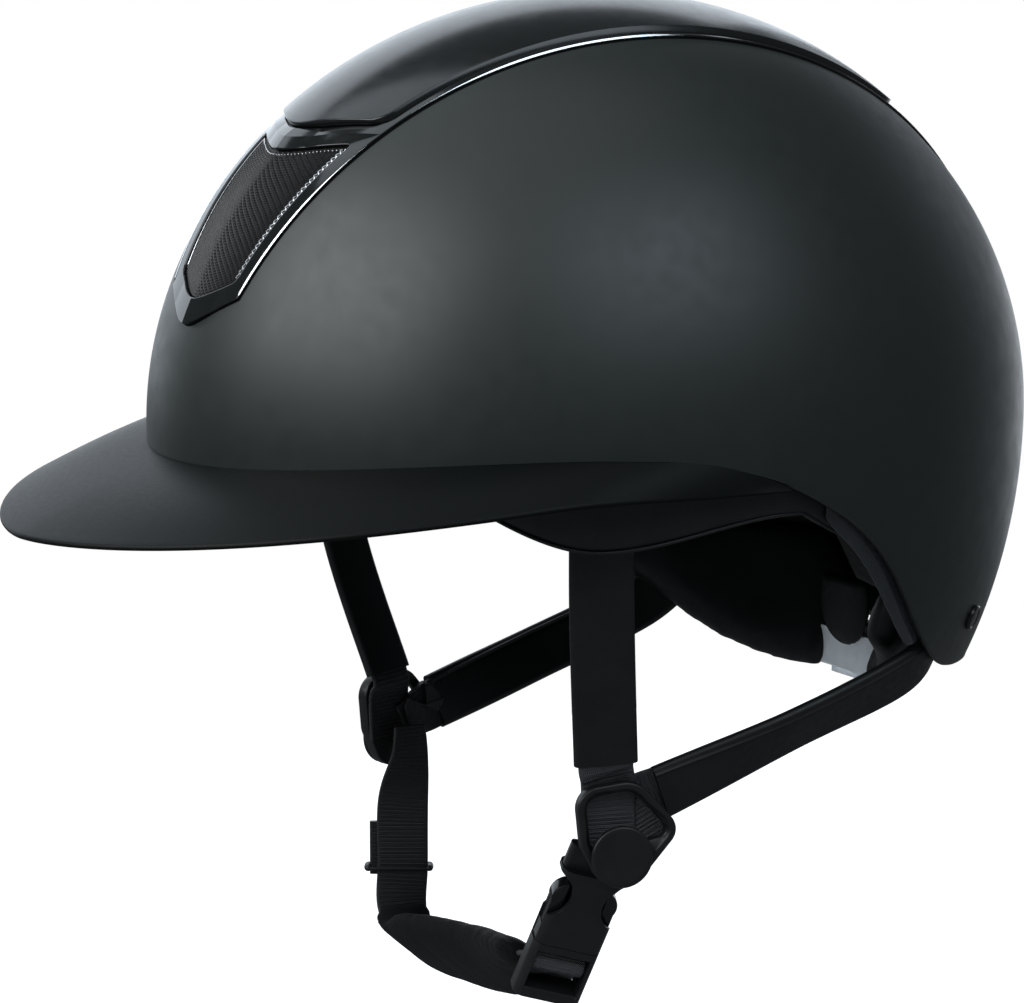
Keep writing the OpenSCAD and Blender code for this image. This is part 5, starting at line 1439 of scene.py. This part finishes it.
bar_wrap = [web_knot(on_buckle(0, BAR_S + BAR_WRAP * math.cos(t), BAR_WRAP * math.sin(t)),
                     math.cos(t) * BUCKLE_S + math.sin(t) * BUCKLE_N) for t in WRAP_ANGLES]
near_runs = [strip(CHIN_RUN, 0.25, ribs, NEAR_KNOT - 0.1), strip(bar_wrap, 0.2, ribs)]
# The buckle end of the webbing is near and in the light, so it takes the lit copy: painted light.
chin_end = strap_piece("chin_web_end", near_runs, LIT_WEBBING, None, "webbing", ["chin_end"])
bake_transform(chin_end)

ACROSS_FAR = np.array([-FAR_TURNED[1], FAR_TURNED[0], 0])
TAIL_AT = CHIN_FAR + LAYER_STEP * FAR_TURNED + 2.4 * ACROSS_FAR
TAIL = [web_knot([TAIL_AT[0], TAIL_AT[1], z], FAR_TURNED) for z in (-133.0, CHIN_FAR[2], -149.5)]
strap_piece("loose_web_end", [strip(TAIL, 0.25, ribs)], WEBBING, "chin_loop", "webbing", ["webbing_tail"])

KEEPER_Z, KEEPER_WIRE, KEEPER_KNOB = -147.0, 0.5, 0.5


def keeper_loop():
    """Rubber loop round both layers: a rounded box path whose wire swells to a knob at both ends."""
    turn = full_turn(96)
    c, s = squared(np.cos(turn), 0.3), squared(np.sin(turn), 0.3)
    wide, deep = WEB_W / 2 + 1.4 + KEEPER_WIRE, WEB_T + 0.9 + KEEPER_WIRE
    centre = CHIN_FAR + LAYER_STEP / 2 * FAR_TURNED + 1.2 * ACROSS_FAR
    path = (c * wide)[:, None] * ACROSS_FAR + (s * deep)[:, None] * FAR_TURNED
    out = unit((np.cos(turn) / wide)[:, None] * ACROSS_FAR + (np.sin(turn) / deep)[:, None] * FAR_TURNED)
    thick = KEEPER_WIRE + KEEPER_KNOB * np.exp(-((np.abs(c) - 1) / 0.12) ** 2) * (np.abs(s) < 0.9)
    around = full_turn(12)[None, :, None]
    circle = np.cos(around) * out[:, None] + np.sin(around) * UP
    return ring(path[:, None] + thick[:, None, None] * circle + [centre[0], centre[1], KEEPER_Z])


piece("keeper_loop", [keeper_loop()], RUBBER, "keeper", "keeper_rubber", ["keeper_ring"], smooth=60)
EYE_PROFILE = [(1.9, -EYE_T / 2), (FAR_EYE_R, -EYE_T / 2), (FAR_EYE_R, EYE_T / 2), (1.9, EYE_T / 2), (1.85, 0)]
piece("far_eye", [lathe(EYE_PROFILE, 48, FAR_TOP, PIVOT_AXIS)], MOULDED, "chin_loop", "buckle_plastic")

# %% [markdown]
# Chin pad: a stuffed fabric sleeve round the webbing, round at its far end and open beside the buckle. It
# is a superellipse carried along the path. Slanting creases cross it, and folds run together at its mouth.

# %% Chin pad
PAD_RUN = strip_path(CHIN_RUN, 0.8, FAR_KNOT, NEAR_KNOT)
FOLDS, FOLD_DEEP, CREASE_PITCH, CREASE_DEEP = 11, 0.75, 17.0, 0.14


def pad_sleeve():
    """Rings of a superellipse along the pad's stretch of the path, rounded at the far end."""
    path, side, normal, _, _, run = PAD_RUN
    near = ease(run / 20)
    width, thick = mix(WEB_W + 4.5, CHIN_PAD_W, near), mix(WEB_T + 5.5, CHIN_PAD_T, near)
    round_far, round_near = rounded(run / 5), rounded((run[-1] - run) / 6)
    width = width * mix(0.75, 1, round_far) * mix(0.66, 1, round_near)
    thick = thick * mix(0.5, 1, round_far) * mix(0.4, 1, round_near)
    turn = full_turn(96)
    x, z = width[:, None] / 2 * squared(np.cos(turn), 0.8), thick[:, None] / 2 * squared(np.sin(turn), 0.95)
    return tube(path[:, None] + x[..., None] * side[:, None] + z[..., None] * normal[:, None])


def pad_folds(points):
    """Presses creases into the sleeve: slanting ones all along, and deep ones that meet at the mouth."""
    path, side, normal, _, _, run = PAD_RUN
    nearest = np.argmin(((points[:, None] - path[None]) ** 2).sum(-1), axis=1)
    away = points - path[nearest]
    x, z = np.sum(away * side[nearest], 1), np.sum(away * normal[nearest], 1)
    angle = np.arctan2(z / CHIN_PAD_T, x / CHIN_PAD_W)
    left = run[-1] - run[nearest]
    deep = FOLD_DEEP * np.exp(-left / 11) * (0.5 + 0.5 * np.cos(FOLDS * angle + 0.12 * left)) ** 3
    phase = 2 * np.pi * (run[nearest] + 0.9 * x) / CREASE_PITCH
    slant = CREASE_DEEP * (0.5 + 0.5 * np.cos(phase + 1.3 * np.sin(0.37 * phase))) ** 5
    return points - unit(away) * (deep + slant)[:, None]


chin_pad = piece("chin_cushion", [pad_sleeve()], PAD_FABRIC, "chin_loop", "pad_fabric", ["chin_pad"],
                 smooth=70, modify=stuffed(1.4, 0.9, 16, pad_folds))

# %% [markdown]
# A pale floor well below the helmet, which hangs in the air as on a head. What the camera sees directly is
# white: the floor and the sky glow for camera rays and for rays through clear plastic, and a polished
# surface sees a little of that glow. The floor's own shading stays under it, and with it the shadow.

# %% Stage
FLOOR_Z, FLOOR_HALF = -0.26, 0.7
SKY_LEVEL, FLOOR_GLOW, FLOOR_DIM, MIRRORED = 0.08, 0.55, 0.85, 0.06
SKY_COLOR, WHITE = (0.72, 0.86, 1.0, 1), (1, 1, 1, 1)


def wired(tree, kind, *values, operation=None):
    """A shader node whose first sockets are linked or set, in turn. Gives back its first output."""
    made = tree.nodes.new("ShaderNode" + kind)
    if operation:
        made.operation = operation
    for socket, value in zip(made.inputs, values):
        if isinstance(value, bpy.types.NodeSocket):
            tree.links.new(value, socket)
        else:
            socket.default_value = value
    return made.outputs[0]


def seen_share(tree):
    """How much of the white glow a ray sees: all from the camera or through clear plastic, else MIRRORED."""
    path = tree.nodes.new("ShaderNodeLightPath").outputs
    direct = wired(tree, "Math", path["Is Camera Ray"], path["Is Transmission Ray"], operation="MAXIMUM")
    mirrored_share = wired(tree, "Math", path["Is Glossy Ray"], MIRRORED, operation="MULTIPLY")
    return wired(tree, "Math", direct, mirrored_share, operation="MAXIMUM")


def floor():
    """Plain plate whose glow is added to its shading, so that the shadow stays."""
    mesh = bpy.data.meshes.new("floor")
    corners = [(-1, -1), (1, -1), (1, 1), (-1, 1)]
    mesh.from_pydata([(x * FLOOR_HALF, y * FLOOR_HALF, FLOOR_Z) for x, y in corners], [], [(0, 1, 2, 3)])
    f = Finish("pale_floor", (0.85, 0.85, 0.85), 0.9, Specular_IOR_Level=0.1)
    # Glossy rays see the floor's shading mostly blacked out: painted shade in the helmet's reflections of the
    # floor.
    glossy = f.node("ShaderNodeLightPath").outputs["Is Glossy Ray"]
    dim = wired(f.tree, "Math", glossy, FLOOR_DIM, operation="MULTIPLY")
    shading = wired(f.tree, "MixShader", dim, f.shader.outputs[0], wired(f.tree, "Emission", WHITE, 0.0))
    level = wired(f.tree, "Math", seen_share(f.tree), FLOOR_GLOW, operation="MULTIPLY")
    both = wired(f.tree, "AddShader", shading, wired(f.tree, "Emission", WHITE, level))
    f.link(both, f.tree.nodes["Material Output"].inputs["Surface"])
    placed("floor", mesh, f.material)


def sky():
    """Dim sky for the light on the helmet, white for the camera."""
    made = bpy.data.worlds.new("studio")
    made.use_nodes = True
    bpy.context.scene.world = made
    tree = made.node_tree
    dim, white = wired(tree, "Background", SKY_COLOR, SKY_LEVEL), wired(tree, "Background", WHITE, 1.0)
    both = wired(tree, "MixShader", seen_share(tree), dim, white)
    tree.links.new(both, tree.nodes["World Output"].inputs["Surface"])


floor()
sky()

# %% [markdown]
# The photograph's two wide highlights come from two softboxes, in front of the wearer's face and beside the
# left ear. A white backdrop stands behind the helmet, and its reflection draws the pale rims. Each lamp is
# given by its direction, its distance and its brightness, so that its power follows from its size.

# %% Lamps
def softbox(name, azimuth, elevation, distance, size, brightness, color):
    """Area lamp that looks at the helmet. Azimuth 0 is ahead of the face and 90 beside the left ear."""
    a, e = math.radians(azimuth), math.radians(elevation)
    lamp = bpy.data.lights.new(name, "AREA")
    lamp.shape, lamp.size, lamp.size_y = "RECTANGLE", size[0], size[1]
    lamp.energy, lamp.color = math.pi * size[0] * size[1] * brightness, color
    obj = placed(name, lamp)
    obj.location = distance * Vector((math.sin(a) * math.cos(e), -math.cos(a) * math.cos(e), math.sin(e)))
    obj.rotation_euler = obj.location.to_track_quat("Z", "Y").to_euler()
    obj.visible_camera = False


softbox("front_softbox", 2, 35, 1.3, (1.5, 0.95), 4.1, (0.96, 0.99, 1.0))
softbox("side_softbox", 98, 40, 1.3, (0.9, 0.75), 2.4, (0.80, 0.91, 1.0))
softbox("top_softbox", 40, 84, 1.3, (1.0, 1.0), 0.7, (0.9, 0.95, 1.0))
softbox("backdrop", -97, 18, 1.4, (1.8, 1.15), 1.35, (0.84, 0.92, 1.0))
softbox("facet_softbox", -64, 56, 1.3, (0.42, 0.6), 1.2, (0.84, 0.93, 1.0))
softbox("backdrop_end", -152, 5, 1.4, (1.0, 1.0), 0.45, (0.84, 0.92, 1.0))
softbox("backdrop_foot", -128, -5, 1.4, (1.3, 0.36), 1.8, (0.9, 0.96, 1.0))
bpy.context.scene.view_settings.view_transform = "Standard"
